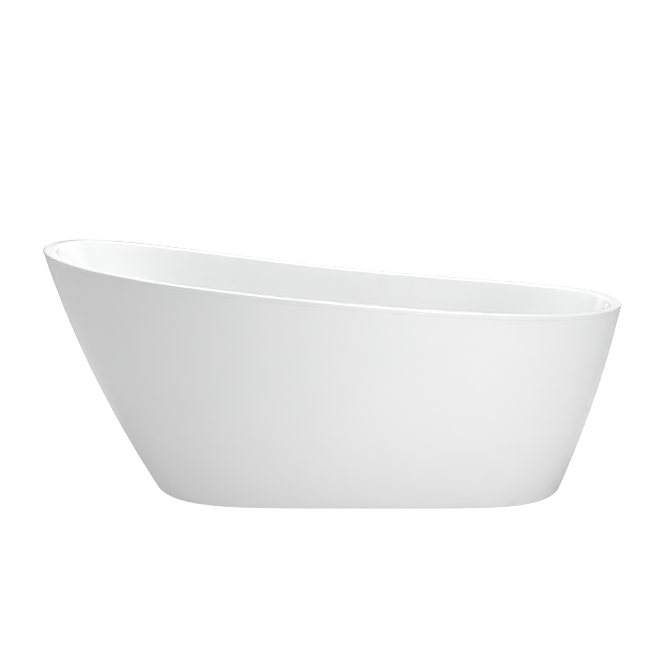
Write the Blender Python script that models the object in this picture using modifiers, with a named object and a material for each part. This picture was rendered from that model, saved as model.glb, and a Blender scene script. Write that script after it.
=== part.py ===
"""Freestanding slipper bathtub: a white inner basin and outer skirt joined at the rim, carried on a steel
frame with six levelling feet, with a push-to-close drain and a piped overflow at the foot end.

Metres, +Z up. The head end, with the high back, is at -X and the foot end, with the drain, at +X.
The origin is on the floor, at the middle of the rim's length and width.
"""

import math

import bmesh
import bpy
from mathutils import Vector

# Outer shape
LENGTH = 1.700
WIDTH = 0.780
HEAD_HEIGHT = 0.708
FOOT_HEIGHT = 0.552
RIM_SAG = 0.824  # how far the rim's side line sags below a straight slope: 0 is straight, 1 ends level
RIM_SIDE_POWERS = (4.0, 5.0)  # straightness of the sides towards the head and the foot: 2 is an ellipse
RIM_END_POWERS = (2.25, 2.25)  # squareness of the head's and the foot's end: 2 is an ellipse
RIM_TAPER = 0.094  # the head is this share wider than the middle, and the foot this share narrower
BASE_LENGTH = 1.214
BASE_WIDTH = 0.690
BASE_SHIFT = 0.078
BASE_SIDE_POWERS = (4.6, 6.5)
BASE_END_POWERS = (2.0, 2.0)
BASE_TAPER = 0.092
HEAD_BULGE = 0.371
FOOT_BULGE = 0.360
FLOOR_GAP = 0.003  # the skirt ends this far above the floor

# Shells
BASIN_WALL = 0.005
SKIRT_WALL = 0.005
RIM_WIDTH = 0.036
RIM_OUTER_RADIUS = 0.0032
RIM_INNER_RADIUS = 0.008
LIP_HEIGHT = 0.014
BASE_EDGE_RADIUS = 0.0065
FLANGE_WIDTH = 0.032
BASIN_FLOOR_Z = 0.140
FLOOR_LENGTH = 1.070
FLOOR_WIDTH = 0.570
FLOOR_SHIFT = 0.065
FLOOR_SIDE_POWERS = (3.2, 3.6)
FLOOR_END_POWERS = (2.3, 2.3)
FLOOR_TAPER = 0.06
FILLET_ON_WALL = 0.160
FILLET_ON_FLOOR = 0.090
BEAD_CLEARANCE = 0.0011  # behind the lip's and the skirt's faces, which slope
BEAD_WIDTH = 0.009
BEAD_HEIGHT = 0.020

# Support frame
BOARD_WIDTH = 0.360
BOARD_THICKNESS = 0.012
BOARD_TO_DRAIN = 0.100
CROSSBAR_PAST_BOARD = (0.020, 0.010)  # at the head and at the foot
TUBE = 0.030
TUBE_WALL = 0.002
RAIL_Y = 0.170
RAIL_PAST_FEET = (0.060, 0.040)  # how far the rails run past the head's and the foot's levelling feet
BRACKET_FROM_FEET = (0.030, 0.040)  # from the head's and the foot's levelling feet towards the middle
BRACKET_WIDTH = 0.030
BRACKET_THICKNESS = 0.003
BRACKET_BEND_RADIUS = 0.006
BOLT_RADIUS = 0.003
BOLT_HEAD_RADIUS = 0.0058
BOLT_HEAD_HEIGHT = 0.004
BOLT_LENGTH = 0.0075
FLANGE_BOLT_INSET = 0.019

# Levelling feet
FOOT_INSETS = (0.169, 0.165)  # of the head's and the foot's levelling feet from the ends of the base
STUD_RADIUS = 0.006
STUD_REACH = 0.026  # how far a stud stands up inside its rail
COLLAR_RADIUS = 0.0098
COLLAR_HEIGHT = 0.008
NUT_RADIUS = 0.0110
NUT_HEIGHT = 0.010
PAD_RADIUS = 0.025
PAD_RIM_HEIGHT = 0.005
PAD_BOSS_RADIUS = 0.0115
PAD_BOSS_TOP = 0.018
SOCKET_FLOOR = 0.006

# Drain
DRAIN_X = 0.420
FLANGE_THICKNESS = 0.0032
BARREL_RADIUS = 0.0225
BARREL_WALL = 0.0035
DRAIN_HOLE_CLEARANCE = 0.0015
FUNNEL_FLARE = 0.0035  # past the barrel's outside
FLANGE_LAND = 0.010  # from the funnel's edge to the flange's
BARREL_LENGTH = 0.034
BRIDGE_HEIGHT = 0.004
BRIDGE_WIDTH = 0.006
HUB_WALL = 0.0028  # round the hole that takes the cartridge
SEAL_THICKNESS = 0.0024
SEAL_WIDTH = 0.010
WASTE_FLANGE_HEIGHT = 0.005
WASTE_WALL = 0.0039
WASTE_LENGTH = 0.073
WASTE_THREAD_DEPTH = 0.030
SIDE_INLET_DROP = 0.039
TAILPIECE_RADIUS = 0.0200
TAILPIECE_WALL = 0.0020
TAILPIECE_INSERT = 0.022
OUTLET_Z = 0.015
SLIP_NUT_WALL = 0.0069
SLIP_NUT_HEIGHT = 0.018
SLIP_WASHER_HEIGHT = 0.004

# Stopper, shown open; it drops by STOPPER_TRAVEL to close
STOPPER_TRAVEL = 0.009
CAP_OVERHANG = 0.005  # past the funnel's edge
CAP_EDGE = 0.0022
CAP_DOME = 0.0055
CAP_BOSS_RADIUS = 0.0142
CAP_BOSS_HEIGHT = 0.0033
CAP_SEAL_INSET = 0.0024  # inside the funnel's edge
STEM_RADIUS = 0.0048
STEM_CLEARANCE = 0.0005
CARTRIDGE_WALL = 0.0014
CARTRIDGE_BOTTOM = 0.0015
CARTRIDGE_DEPTH = 0.018  # below the bridge
CARTRIDGE_COLLAR_WIDTH = 0.0021
CARTRIDGE_COLLAR_HEIGHT = 0.003
CARTRIDGE_NECK = 0.006
SPRING_HEIGHT = 0.0196
SPRING_TURNS = 5
SPRING_WIRE_RADIUS = 0.0005

# Overflow
OVERFLOW_DROP = 0.115  # below the rim at the foot
OVERFLOW_SEAT_DEPTH = 0.0004  # a flat, let into the curved wall, that the flange sits on
OVERFLOW_FLANGE_WIDTH = 0.0084  # past the hole's edge
OVERFLOW_FLANGE_THICKNESS = 0.0022
OVERFLOW_BARREL_RADIUS = 0.0205
OVERFLOW_BARREL_WALL = 0.0027
OVERFLOW_HOLE_CLEARANCE = 0.0011
OVERFLOW_BARREL_LENGTH = 0.022
OVERFLOW_CAP_OVERHANG = 0.004  # past the flange's edge
OVERFLOW_CAP_STANDOFF = 0.007
OVERFLOW_CAP_EDGE = 0.003
OVERFLOW_CAP_DOME = 0.0045
OVERFLOW_STEM_RADIUS = 0.0040
ELBOW_CLEARANCE = 0.0009  # round the overflow's barrel
ELBOW_WALL = 0.0046
ELBOW_FLANGE_WIDTH = 0.0114  # past the hole's edge
ELBOW_BACK = 0.0025
ELBOW_SHOULDER = 0.00355  # above and below the spigot
SPIGOT_RADIUS = 0.0112
SPIGOT_WALL = 0.0022
SPIGOT_REACH = 0.058
HOSE_CLEARANCE = 0.0009  # over a spigot
HOSE_WALL = 0.0024
HOSE_OVERLAP = 0.018
HOSE_HANDLES = (0.534, 0.663)  # of its drop and of its run, straight on before it bends
CLAMP_WIDTH = 0.009
CLAMP_BAND = 0.0012

# Clearances and mesh fineness
GAP = 0.0003
RUNNING_GAP = 0.0006
ROUND_SEGMENTS = 56  # points round each shell's outline
OUTLINE_SAMPLES = 1440
SKIRT_STEPS = 6
TURNED_SEGMENTS = 20
SMALL_SEGMENTS = 12
HOSE_BEVEL = 4

WHITE = ("white_acrylic", (0.93, 0.93, 0.93), 0.16, 0.0)
PLY = ("resin_coated_board", (0.72, 0.62, 0.46), 0.65, 0.0)
ADHESIVE = ("rim_adhesive", (0.84, 0.83, 0.79), 0.55, 0.0)
ZINC = ("galvanised_steel", (0.62, 0.64, 0.66), 0.42, 0.95)
FASTENER = ("zinc_fastener", (0.70, 0.70, 0.68), 0.30, 0.95)
RUBBER = ("black_rubber", (0.03, 0.03, 0.03), 0.75, 0.0)
PAD_PLASTIC = ("pad_plastic", (0.06, 0.06, 0.065), 0.55, 0.0)
CHROME = ("chrome", (0.80, 0.81, 0.82), 0.06, 1.0)
BRASS = ("brass", (0.78, 0.62, 0.33), 0.30, 1.0)
WASTE_PLASTIC = ("waste_plastic", (0.88, 0.88, 0.86), 0.40, 0.0)
HOSE_PLASTIC = ("hose_plastic", (0.80, 0.80, 0.79), 0.50, 0.0)

# Levels that follow from the sizes above
BASIN_UNDERSIDE = BASIN_FLOOR_Z - BASIN_WALL
BOARD_TOP = BASIN_UNDERSIDE - GAP
RAIL_TOP = BOARD_TOP - BOARD_THICKNESS - GAP
RAIL_BOTTOM = RAIL_TOP - TUBE
FLANGE_TOP = FLOOR_GAP + SKIRT_WALL

# Places along the frame
BASE_ENDS = (BASE_SHIFT - BASE_LENGTH / 2, BASE_SHIFT + BASE_LENGTH / 2)
HEAD_FOOT_X, FOOT_FOOT_X = BASE_ENDS[0] + FOOT_INSETS[0], BASE_ENDS[1] - FOOT_INSETS[1]
FOOT_XS = {"head": HEAD_FOOT_X, "middle": (HEAD_FOOT_X + FOOT_FOOT_X) / 2, "foot": FOOT_FOOT_X}
RAIL_HEAD_X, RAIL_FOOT_X = HEAD_FOOT_X - RAIL_PAST_FEET[0], FOOT_FOOT_X + RAIL_PAST_FEET[1]
BRACKET_XS = {"head": HEAD_FOOT_X + BRACKET_FROM_FEET[0], "foot": FOOT_FOOT_X - BRACKET_FROM_FEET[1]}
BOARD_ENDS = (HEAD_FOOT_X, DRAIN_X - BOARD_TO_DRAIN)
CROSSBAR_ENDS = (BOARD_ENDS[0] - CROSSBAR_PAST_BOARD[0], BOARD_ENDS[1] + CROSSBAR_PAST_BOARD[1])
CROSSBAR_XS = {"head": CROSSBAR_ENDS[0], "middle": sum(CROSSBAR_ENDS) / 2, "foot": CROSSBAR_ENDS[1]}

# Holes and the fittings' sizes, each from the piece it goes round
STUD_HOLE = STUD_RADIUS + RUNNING_GAP
BOLT_HOLE = BOLT_RADIUS + GAP
BARREL_BORE = BARREL_RADIUS - BARREL_WALL
BARREL_THREAD = BARREL_RADIUS + RUNNING_GAP
DRAIN_HOLE_RADIUS = BARREL_RADIUS + DRAIN_HOLE_CLEARANCE
FUNNEL_RADIUS = BARREL_RADIUS + FUNNEL_FLARE
FLANGE_RADIUS = FUNNEL_RADIUS + FLANGE_LAND
TAILPIECE_BORE = TAILPIECE_RADIUS - TAILPIECE_WALL
WASTE_BORE = TAILPIECE_RADIUS + RUNNING_GAP
WASTE_RADIUS = max(BARREL_THREAD, WASTE_BORE) + WASTE_WALL
WASTE_FLANGE_RADIUS = DRAIN_HOLE_RADIUS + SEAL_WIDTH
SLIP_NUT_RADIUS = WASTE_RADIUS + RUNNING_GAP + SLIP_NUT_WALL
CAP_RADIUS = FUNNEL_RADIUS + CAP_OVERHANG
CAP_SEAL_RADIUS = FUNNEL_RADIUS - CAP_SEAL_INSET
CARTRIDGE_BORE = STEM_RADIUS + STEM_CLEARANCE
CARTRIDGE_RADIUS = CARTRIDGE_BORE + CARTRIDGE_WALL
CARTRIDGE_COLLAR_RADIUS = CARTRIDGE_RADIUS + CARTRIDGE_COLLAR_WIDTH
HUB_RADIUS = CARTRIDGE_RADIUS + GAP + HUB_WALL
OVERFLOW_BORE = OVERFLOW_BARREL_RADIUS - OVERFLOW_BARREL_WALL
OVERFLOW_HOLE_RADIUS = OVERFLOW_BARREL_RADIUS + OVERFLOW_HOLE_CLEARANCE
OVERFLOW_FLANGE_RADIUS = OVERFLOW_HOLE_RADIUS + OVERFLOW_FLANGE_WIDTH
OVERFLOW_CAP_RADIUS = OVERFLOW_FLANGE_RADIUS + OVERFLOW_CAP_OVERHANG
ELBOW_BORE = OVERFLOW_BARREL_RADIUS + ELBOW_CLEARANCE
ELBOW_RADIUS = ELBOW_BORE + ELBOW_WALL
ELBOW_FLANGE_RADIUS = OVERFLOW_HOLE_RADIUS + ELBOW_FLANGE_WIDTH
ELBOW_DEPTH = 2 * (SPIGOT_RADIUS + ELBOW_SHOULDER) + ELBOW_BACK
SPIGOT_BORE = SPIGOT_RADIUS - SPIGOT_WALL
HOSE_BORE = SPIGOT_RADIUS + HOSE_CLEARANCE
HOSE_RADIUS = HOSE_BORE + HOSE_WALL


# ---------------------------------------------------------------- scene and mesh helpers


def clear_scene():
    for obj in list(bpy.data.objects):
        bpy.data.objects.remove(obj, do_unlink=True)


def collection(name):
    made = bpy.data.collections.new(name)
    bpy.context.scene.collection.children.link(made)
    return made


def material(finish):
    name, colour, roughness, metallic = finish
    made = bpy.data.materials.get(name)
    if made is None:
        made = bpy.data.materials.new(name)
        made.use_nodes = True
        shader = made.node_tree.nodes["Principled BSDF"]
        shader.inputs["Base Color"].default_value = (*colour, 1.0)
        shader.inputs["Roughness"].default_value = roughness
        shader.inputs["Metallic"].default_value = metallic
    return made


def part(name, mesh, finish, parent=None, location=(0.0, 0.0, 0.0), rotation=(0.0, 0.0, 0.0)):
    """A named object of the bathtub, with its own material."""
    obj = bpy.data.objects.new(name, mesh)
    if not mesh.materials:
        mesh.materials.append(material(finish))
    obj.location = location
    obj.rotation_euler = rotation
    obj.parent = parent
    PARTS.objects.link(obj)
    return obj


def empty(name, location, rotation=(0.0, 0.0, 0.0)):
    made = bpy.data.objects.new(name, None)
    made.location = location
    made.rotation_euler = rotation
    PARTS.objects.link(made)
    return made


def cutter(name, mesh, parent=None, location=(0.0, 0.0, 0.0), rotation=(0.0, 0.0, 0.0)):
    made = bpy.data.objects.new(name, mesh)
    made.location = location
    made.rotation_euler = rotation
    made.parent = parent
    made.hide_render = True
    made.display_type = "WIRE"
    CUTTERS.objects.link(made)
    return made


def combine(obj, other, operation):
    """A Boolean with another object: DIFFERENCE cuts it away and UNION joins it."""
    boolean = obj.modifiers.new(operation.lower(), "BOOLEAN")
    boolean.operation = operation
    boolean.object = other
    return boolean


def solidify(obj, thickness):
    """Thickens an open surface away from the side that its faces point to."""
    shell = obj.modifiers.new("wall", "SOLIDIFY")
    shell.thickness = thickness
    shell.offset = -1.0
    shell.use_even_offset = True
    shell.use_quality_normals = True


def evaluated_mesh(obj):
    """The object's mesh with its modifiers applied, as a mesh of its own."""
    bpy.context.view_layer.update()
    graph = bpy.context.evaluated_depsgraph_get()
    made = bpy.data.meshes.new_from_object(obj.evaluated_get(graph))
    made.name = obj.name
    return made


def rounded_shading(mesh, angle=math.radians(32)):
    mesh.shade_smooth()
    mesh.set_sharp_from_angle(angle=angle)


def grid_mesh(name, rings, closed_rings=True, closed_section=False, cap_last=False, cap_first=False):
    """Quads between rings of equal length. Each ring can close on itself, and the last ring on the first."""
    count = len(rings[0])
    vertices = [point for ring in rings for point in ring]
    faces = []
    for j in range(len(rings) if closed_section else len(rings) - 1):
        here, there = j * count, (j + 1) % len(rings) * count
        for i in range(count if closed_rings else count - 1):
            k = (i + 1) % count
            faces.append((here + i, here + k, there + k, there + i))
    if cap_first:
        faces.append(tuple(reversed(range(count))))
    if cap_last:
        faces.append(tuple(range(len(vertices) - count, len(vertices))))
    mesh = bpy.data.meshes.new(name)
    mesh.from_pydata(vertices, [], faces)
    mesh.update()
    return mesh


def box_mesh(name, size, centre=(0.0, 0.0, 0.0)):
    bm = bmesh.new()
    bmesh.ops.create_cube(bm, size=1.0)
    bmesh.ops.scale(bm, vec=size, verts=bm.verts)
    bmesh.ops.translate(bm, vec=centre, verts=bm.verts)
    mesh = bpy.data.meshes.new(name)
    bm.to_mesh(mesh)
    bm.free()
    return mesh


def rod_mesh(name, radius, bottom, top, segments=TURNED_SEGMENTS):
    """A capped prism along Z with its corners on the radius."""
    bm = bmesh.new()
    bmesh.ops.create_cone(
        bm, cap_ends=True, segments=segments, radius1=radius, radius2=radius, depth=top - bottom
    )
    bmesh.ops.translate(bm, vec=(0, 0, (top + bottom) / 2), verts=bm.verts)
    mesh = bpy.data.meshes.new(name)
    bm.to_mesh(mesh)
    bm.free()
    return mesh


def turned_mesh(name, profile, closed=False, segments=TURNED_SEGMENTS):
    """Turns a profile of (radius, height) points about Z. It runs down its outer side, top to bottom."""
    vertices = [(radius, 0.0, height) for radius, height in profile]
    edges = [(i, i + 1) for i in range(len(profile) - 1)]
    if closed:
        edges.append((len(profile) - 1, 0))
    mesh = bpy.data.meshes.new(name + "_profile")
    mesh.from_pydata(vertices, edges, [])
    work = bpy.data.objects.new(name, mesh)
    bpy.context.scene.collection.objects.link(work)
    screw = work.modifiers.new("turn", "SCREW")
    screw.axis = "Z"
    screw.steps = segments
    screw.render_steps = segments
    screw.use_merge_vertices = True
    screw.merge_threshold = 0.00005
    screw.use_normal_calculate = False
    made = evaluated_mesh(work)
    bpy.data.objects.remove(work)
    bpy.data.meshes.remove(mesh)
    rounded_shading(made)
    return made


def ring_profile(inner, outer, bottom, top):
    return [(inner, top), (outer, top), (outer, bottom), (inner, bottom)]


# ---------------------------------------------------------------- the shells' shape


def oval_point(angle, shape):
    """A point of an egg-shaped outline in plan, from the foot tip at angle 0 round by +Y."""
    length, width, shift, side_powers, end_powers, taper = shape
    along = math.cos(angle)
    end = 0 if along < 0 else 1
    across = (1 - abs(along) ** side_powers[end]) ** (1 / end_powers[end]) * (1 - taper * along)
    return Vector((shift + length / 2 * along, width / 2 * math.copysign(across, math.sin(angle))))


def spread_angles(shape, count):
    """Angles that spread an outline's points half by length and half by turn, so that the ends get more of
    them than the long sides."""
    samples = OUTLINE_SAMPLES
    dense = [oval_point(2 * math.pi * k / samples, shape) for k in range(samples)]
    steps = [dense[(k + 1) % samples] - dense[k] for k in range(samples)]
    turns = [abs(steps[k].angle_signed(steps[k - 1])) for k in range(samples)]
    perimeter, turned = sum(step.length for step in steps), sum(turns)
    reached = [0.0]
    for k in range(samples):
        turn = (turns[k] + turns[(k + 1) % samples]) / 2
        reached.append(reached[-1] + steps[k].length / perimeter / 2 + turn / turned / 2)
    found, k = [], 0
    for i in range(count):
        target = i / count * reached[-1]
        while reached[k + 1] < target:
            k += 1
        found.append(2 * math.pi * (k + (target - reached[k]) / (reached[k + 1] - reached[k])) / samples)
    return found


def inward_normals(points):
    """Unit vectors in plan, pointing into the outline."""
    found = []
    for i in range(len(points)):
        along = (points[(i + 1) % len(points)] - points[i - 1]).normalized()
        found.append(Vector((-along.y, along.x)))
    return found


def width_at(points, x):
    """Half of the outline's width where it crosses x."""
    for i in range(len(points) // 2):
        a, b = points[i], points[i + 1]
        if b.x <= x <= a.x:
            return a.y + (b.y - a.y) * (a.x - x) / (a.x - b.x)
    return 0.0


RIM_SHAPE = (LENGTH, WIDTH, 0.0, RIM_SIDE_POWERS, RIM_END_POWERS, RIM_TAPER)
BASE_SHAPE = (BASE_LENGTH, BASE_WIDTH, BASE_SHIFT, BASE_SIDE_POWERS, BASE_END_POWERS, BASE_TAPER)
FLOOR_SHAPE = (FLOOR_LENGTH, FLOOR_WIDTH, FLOOR_SHIFT, FLOOR_SIDE_POWERS, FLOOR_END_POWERS, FLOOR_TAPER)
ROUND_ANGLES = spread_angles(RIM_SHAPE, ROUND_SEGMENTS)
RIM = [oval_point(angle, RIM_SHAPE) for angle in ROUND_ANGLES]
BASE = [oval_point(angle, BASE_SHAPE) for angle in ROUND_ANGLES]
BASIN_FLOOR = [oval_point(angle, FLOOR_SHAPE) for angle in ROUND_ANGLES]
RIM_INWARD = inward_normals(RIM)
FLOOR_INWARD = inward_normals(BASIN_FLOOR)


def rim_height(x):
    """The rim falls from the head to the foot, steeply at first and then nearly level."""
    share = x / LENGTH + 0.5
    return FOOT_HEIGHT + (HEAD_HEIGHT - FOOT_HEIGHT) * (1 - share) * (1 - RIM_SAG * share)


def skin(i, z, inset=0.0):
    """A point of the outer face at height z, on the line from the base to the rim, moved in by inset."""
    up = z / rim_height(RIM[i].x)
    bulge = HEAD_BULGE + (FOOT_BULGE - HEAD_BULGE) * (RIM[i].x / LENGTH + 0.5)
    share = up + bulge * up * (1 - up)
    plan = BASE[i].lerp(RIM[i], share) + RIM_INWARD[i] * inset
    return Vector((plan.x, plan.y, z))


def rounded(before, corner, after, reach_before, reach_after, steps):
    """Points that round a corner, from reach_before ahead of it to reach_after past it."""
    a = corner + (before - corner).normalized() * reach_before
    b = corner + (after - corner).normalized() * reach_after
    shares = [k / steps for k in range(steps + 1)]
    return [a * (1 - t) ** 2 + corner * 2 * t * (1 - t) + b * t * t for t in shares]


def basin_corners(i):
    """The basin's section at one place: lip, outer and inner rim corners and floor corner."""
    top = rim_height(RIM[i].x)
    corner = Vector((*BASIN_FLOOR[i], BASIN_FLOOR_Z))
    return skin(i, top - LIP_HEIGHT), skin(i, top), skin(i, top, RIM_WIDTH), corner


def behind(i, point, slope):
    """The point moved a wall's thickness behind its face, which runs along slope: up outside, down inside."""
    around = Vector((RIM_INWARD[i].y, -RIM_INWARD[i].x, 0.0))
    return point + slope.cross(around).normalized() * BASIN_WALL


def hidden_corners(i):
    """The same corners, a wall's thickness behind the faces that show."""
    lip, outer, inner, corner = basin_corners(i)
    rise, fall = (outer - lip).normalized(), (corner - inner).normalized()
    beneath = outer.z - BASIN_WALL
    hidden_lip, back = behind(i, lip, rise), behind(i, inner, fall)
    hidden_outer = hidden_lip + rise * ((beneath - hidden_lip.z) / rise.z)
    levels = (beneath, BASIN_UNDERSIDE)
    return hidden_lip, hidden_outer, *(back + fall * ((z - back.z) / fall.z) for z in levels)


def wall_section(i, inner_before, inner, corner):
    """From the rim's inner bend down the wall to the edge of the flat floor."""
    level = Vector((*FLOOR_INWARD[i], 0.0))
    points = rounded(inner_before, inner, corner, RIM_INNER_RADIUS, RIM_INNER_RADIUS, 3)
    return points + rounded(inner, corner, corner + level, FILLET_ON_WALL, FILLET_ON_FLOOR, 6)


def basin_section(i):
    """From the middle of the underside out to the lip, and back over the rim to the middle of the floor."""
    lip, outer, inner, corner = basin_corners(i)
    hidden_lip, hidden_outer, hidden_inner, hidden_corner = hidden_corners(i)
    points = wall_section(i, hidden_outer, hidden_inner, hidden_corner)[::-1]
    points += [hidden_outer, hidden_lip, lip]
    points += rounded(lip, outer, inner, RIM_OUTER_RADIUS, RIM_OUTER_RADIUS, 2)
    return points + wall_section(i, outer, inner, corner)


def skirt_section(i):
    bottom = skin(i, FLOOR_GAP)
    flange = skin(i, FLOOR_GAP, FLANGE_WIDTH)
    top = rim_height(RIM[i].x) - LIP_HEIGHT - GAP
    points = [flange]
    points += rounded(flange, bottom, skin(i, FLOOR_GAP + TUBE), BASE_EDGE_RADIUS, BASE_EDGE_RADIUS, 2)
    for step in range(1, SKIRT_STEPS + 1):
        points.append(skin(i, FLOOR_GAP + (top - FLOOR_GAP) * step / SKIRT_STEPS))
    return points


def bead_section(i):
    """The adhesive behind the rim joint: it bridges the lip's and the skirt's inner faces."""
    top = rim_height(RIM[i].x) - BASIN_WALL - 2 * GAP
    low = top - BEAD_HEIGHT
    by_skirt, by_lip = SKIRT_WALL + BEAD_CLEARANCE, BASIN_WALL + BEAD_CLEARANCE
    far = max(by_skirt, by_lip) + BEAD_WIDTH
    return [skin(i, low, by_skirt), skin(i, top, by_lip), skin(i, top, far), skin(i, low, far)]


def rings_of(section):
    """Turns the sections round the outline into rings, one for each point of a section."""
    sections = [section(i) for i in range(ROUND_SEGMENTS)]
    return [[s[j] for s in sections] for j in range(len(sections[0]))]


# ---------------------------------------------------------------- shells


def make_basin(overflow):
    mesh = grid_mesh("inner_basin", rings_of(basin_section), cap_first=True, cap_last=True)
    basin = part("inner_basin", mesh, WHITE)
    hole = rod_mesh("drain_hole", DRAIN_HOLE_RADIUS, -2 * BASIN_WALL, 2 * BASIN_WALL)
    combine(basin, cutter("drain_hole", hole, location=(DRAIN_X, 0, BASIN_FLOOR_Z)), "DIFFERENCE")
    seat = rod_mesh("overflow_seat", OVERFLOW_FLANGE_RADIUS + 4 * GAP, 0, 3 * BASIN_WALL)
    combine(basin, cutter("overflow_seat", seat, overflow), "DIFFERENCE")
    hole = rod_mesh("overflow_hole", OVERFLOW_HOLE_RADIUS, -3 * BASIN_WALL, BASIN_WALL)
    combine(basin, cutter("overflow_hole", hole, overflow), "DIFFERENCE")
    rounded_shading(basin.data)


def make_skirt():
    skirt = part("outer_skirt", grid_mesh("outer_skirt", rings_of(skirt_section)), WHITE)
    solidify(skirt, SKIRT_WALL)
    for end, x in BRACKET_XS.items():
        for side, sign in (("left", 1), ("right", -1)):
            hole = rod_mesh("flange_hole", BOLT_HOLE, -SKIRT_WALL, 2 * SKIRT_WALL, SMALL_SEGMENTS)
            at = (x, sign * flange_bolt_y(x), FLOOR_GAP)
            combine(skirt, cutter(f"flange_hole_{end}_{side}", hole, location=at), "DIFFERENCE")
    rounded_shading(skirt.data)


def make_bead():
    mesh = grid_mesh("rim_adhesive_bead", rings_of(bead_section), closed_section=True)
    part("rim_adhesive_bead", mesh, ADHESIVE)


def make_board():
    length, shift = BOARD_ENDS[1] - BOARD_ENDS[0], sum(BOARD_ENDS) / 2
    shape = (length, BOARD_WIDTH, shift, (8.0, 8.0), (4.0, 4.0), 0.0)
    plan = [oval_point(angle, shape) for angle in spread_angles(shape, 28)]
    rings = [[Vector((*p, z)) for p in plan] for z in (BOARD_TOP - BOARD_THICKNESS, BOARD_TOP)]
    part("reinforcing_board", grid_mesh("reinforcing_board", rings, cap_first=True, cap_last=True), PLY)


# ---------------------------------------------------------------- frame


def flange_bolt_y(x):
    return width_at(BASE, x) - FLANGE_BOLT_INSET


def tube(name, length, location, along):
    """An open square tube, lying along X or Y."""
    size, hollow = [TUBE] * 3, [TUBE - 2 * TUBE_WALL] * 3
    size[along], hollow[along] = length, length + 2 * TUBE
    made = part(name, box_mesh(name, size), ZINC, location=location)
    inside = cutter(name + "_bore", box_mesh(name + "_bore", hollow), location=location)
    combine(made, inside, "DIFFERENCE")
    return made


def make_rail(side, sign):
    """A rail with a hole for each stud in its lower wall and for each bracket bolt in its outer wall."""
    middle_x, middle_z = (RAIL_HEAD_X + RAIL_FOOT_X) / 2, (RAIL_TOP + RAIL_BOTTOM) / 2
    y = sign * RAIL_Y
    rail = tube(f"frame_rail_{side}", RAIL_FOOT_X - RAIL_HEAD_X, (middle_x, y, middle_z), 0)
    for end, x in FOOT_XS.items():
        hole = rod_mesh("stud_hole", STUD_HOLE, -TUBE / 4, TUBE / 4)
        made = cutter(f"stud_hole_{end}_{side}", hole, location=(x, y, RAIL_BOTTOM))
        combine(rail, made, "DIFFERENCE")
    for end, x in BRACKET_XS.items():
        hole = rod_mesh("rail_bolt_hole", BOLT_HOLE, -TUBE / 4, TUBE / 4, SMALL_SEGMENTS)
        at = (x, sign * (RAIL_Y + TUBE / 2), middle_z)
        made = cutter(f"rail_bolt_hole_{end}_{side}", hole, None, at, (math.pi / 2, 0, 0))
        combine(rail, made, "DIFFERENCE")


def make_crossbars():
    length = 2 * RAIL_Y - TUBE - 2 * GAP
    for end, x in CROSSBAR_XS.items():
        tube(f"frame_crossbar_{end}", length, (x, 0, (RAIL_TOP + RAIL_BOTTOM) / 2), 1)


def bolt_mesh():
    """A hexagon-head bolt pointing down, with its head's underside at the origin."""
    head = rod_mesh("bolt_head", BOLT_HEAD_RADIUS, 0, BOLT_HEAD_HEIGHT, 6)
    work = part("bolt_work", head, FASTENER)
    overlap = BOLT_HEAD_HEIGHT / 2
    shank = rod_mesh("bolt_shank", BOLT_RADIUS, -BOLT_LENGTH, overlap, SMALL_SEGMENTS)
    combine(work, cutter("bolt_shank", shank), "UNION")
    made = evaluated_mesh(work)
    bpy.data.objects.remove(work)
    return made


def make_bracket(end, x, side, sign, bolt):
    """An angle that ties the skirt's bottom flange to a rail, with a bolt through each leg."""
    top = RAIL_TOP - TUBE_WALL
    face = RAIL_Y + TUBE / 2 + GAP
    reach = flange_bolt_y(x) + BRACKET_WIDTH / 4
    low = FLANGE_TOP + GAP
    corner = Vector((0, face, low))
    up, out = Vector((0, face, top)), Vector((0, reach, low))
    bend = BRACKET_BEND_RADIUS
    path = [up, *rounded(up, corner, out, bend, bend, 3), out]
    ends = (BRACKET_WIDTH / 2, -BRACKET_WIDTH / 2)
    rows = [[Vector((x + dx, p.y * sign, p.z)) for p in path] for dx in ends[::-sign]]
    name = f"skirt_bracket_{end}_{side}"
    bracket = part(name, grid_mesh(name, rows, closed_rings=False), ZINC)
    solidify(bracket, BRACKET_THICKNESS)
    rail_z = (RAIL_TOP + RAIL_BOTTOM) / 2
    places = (
        ("rail", (x, sign * (face + BRACKET_THICKNESS + GAP), rail_z), (-sign * math.pi / 2, 0, 0)),
        ("flange", (x, sign * flange_bolt_y(x), low + BRACKET_THICKNESS + GAP), (0, 0, 0)),
    )
    for leg, at, rotation in places:
        depth = 2 * BRACKET_THICKNESS
        hole = rod_mesh("bracket_hole", BOLT_HOLE, -depth, depth, SMALL_SEGMENTS)
        made = cutter(f"bracket_hole_{leg}_{end}_{side}", hole, None, at, rotation)
        combine(bracket, made, "DIFFERENCE")
        part(f"{leg}_bolt_{end}_{side}", bolt, FASTENER, None, at, rotation)


# ---------------------------------------------------------------- levelling feet


def stud_mesh():
    """A threaded stud with a hexagon collar to turn it by. Its lower end sits in the pad's socket."""
    bottom = SOCKET_FLOOR + GAP
    rod = rod_mesh("stud", STUD_RADIUS, bottom, RAIL_BOTTOM + STUD_REACH, SMALL_SEGMENTS)
    work = part("stud_work", rod, FASTENER)
    low = PAD_BOSS_TOP + 2 * RUNNING_GAP
    collar = rod_mesh("stud_collar", COLLAR_RADIUS, low, low + COLLAR_HEIGHT, 6)
    combine(work, cutter("stud_collar", collar), "UNION")
    made = evaluated_mesh(work)
    bpy.data.objects.remove(work)
    return made


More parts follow.
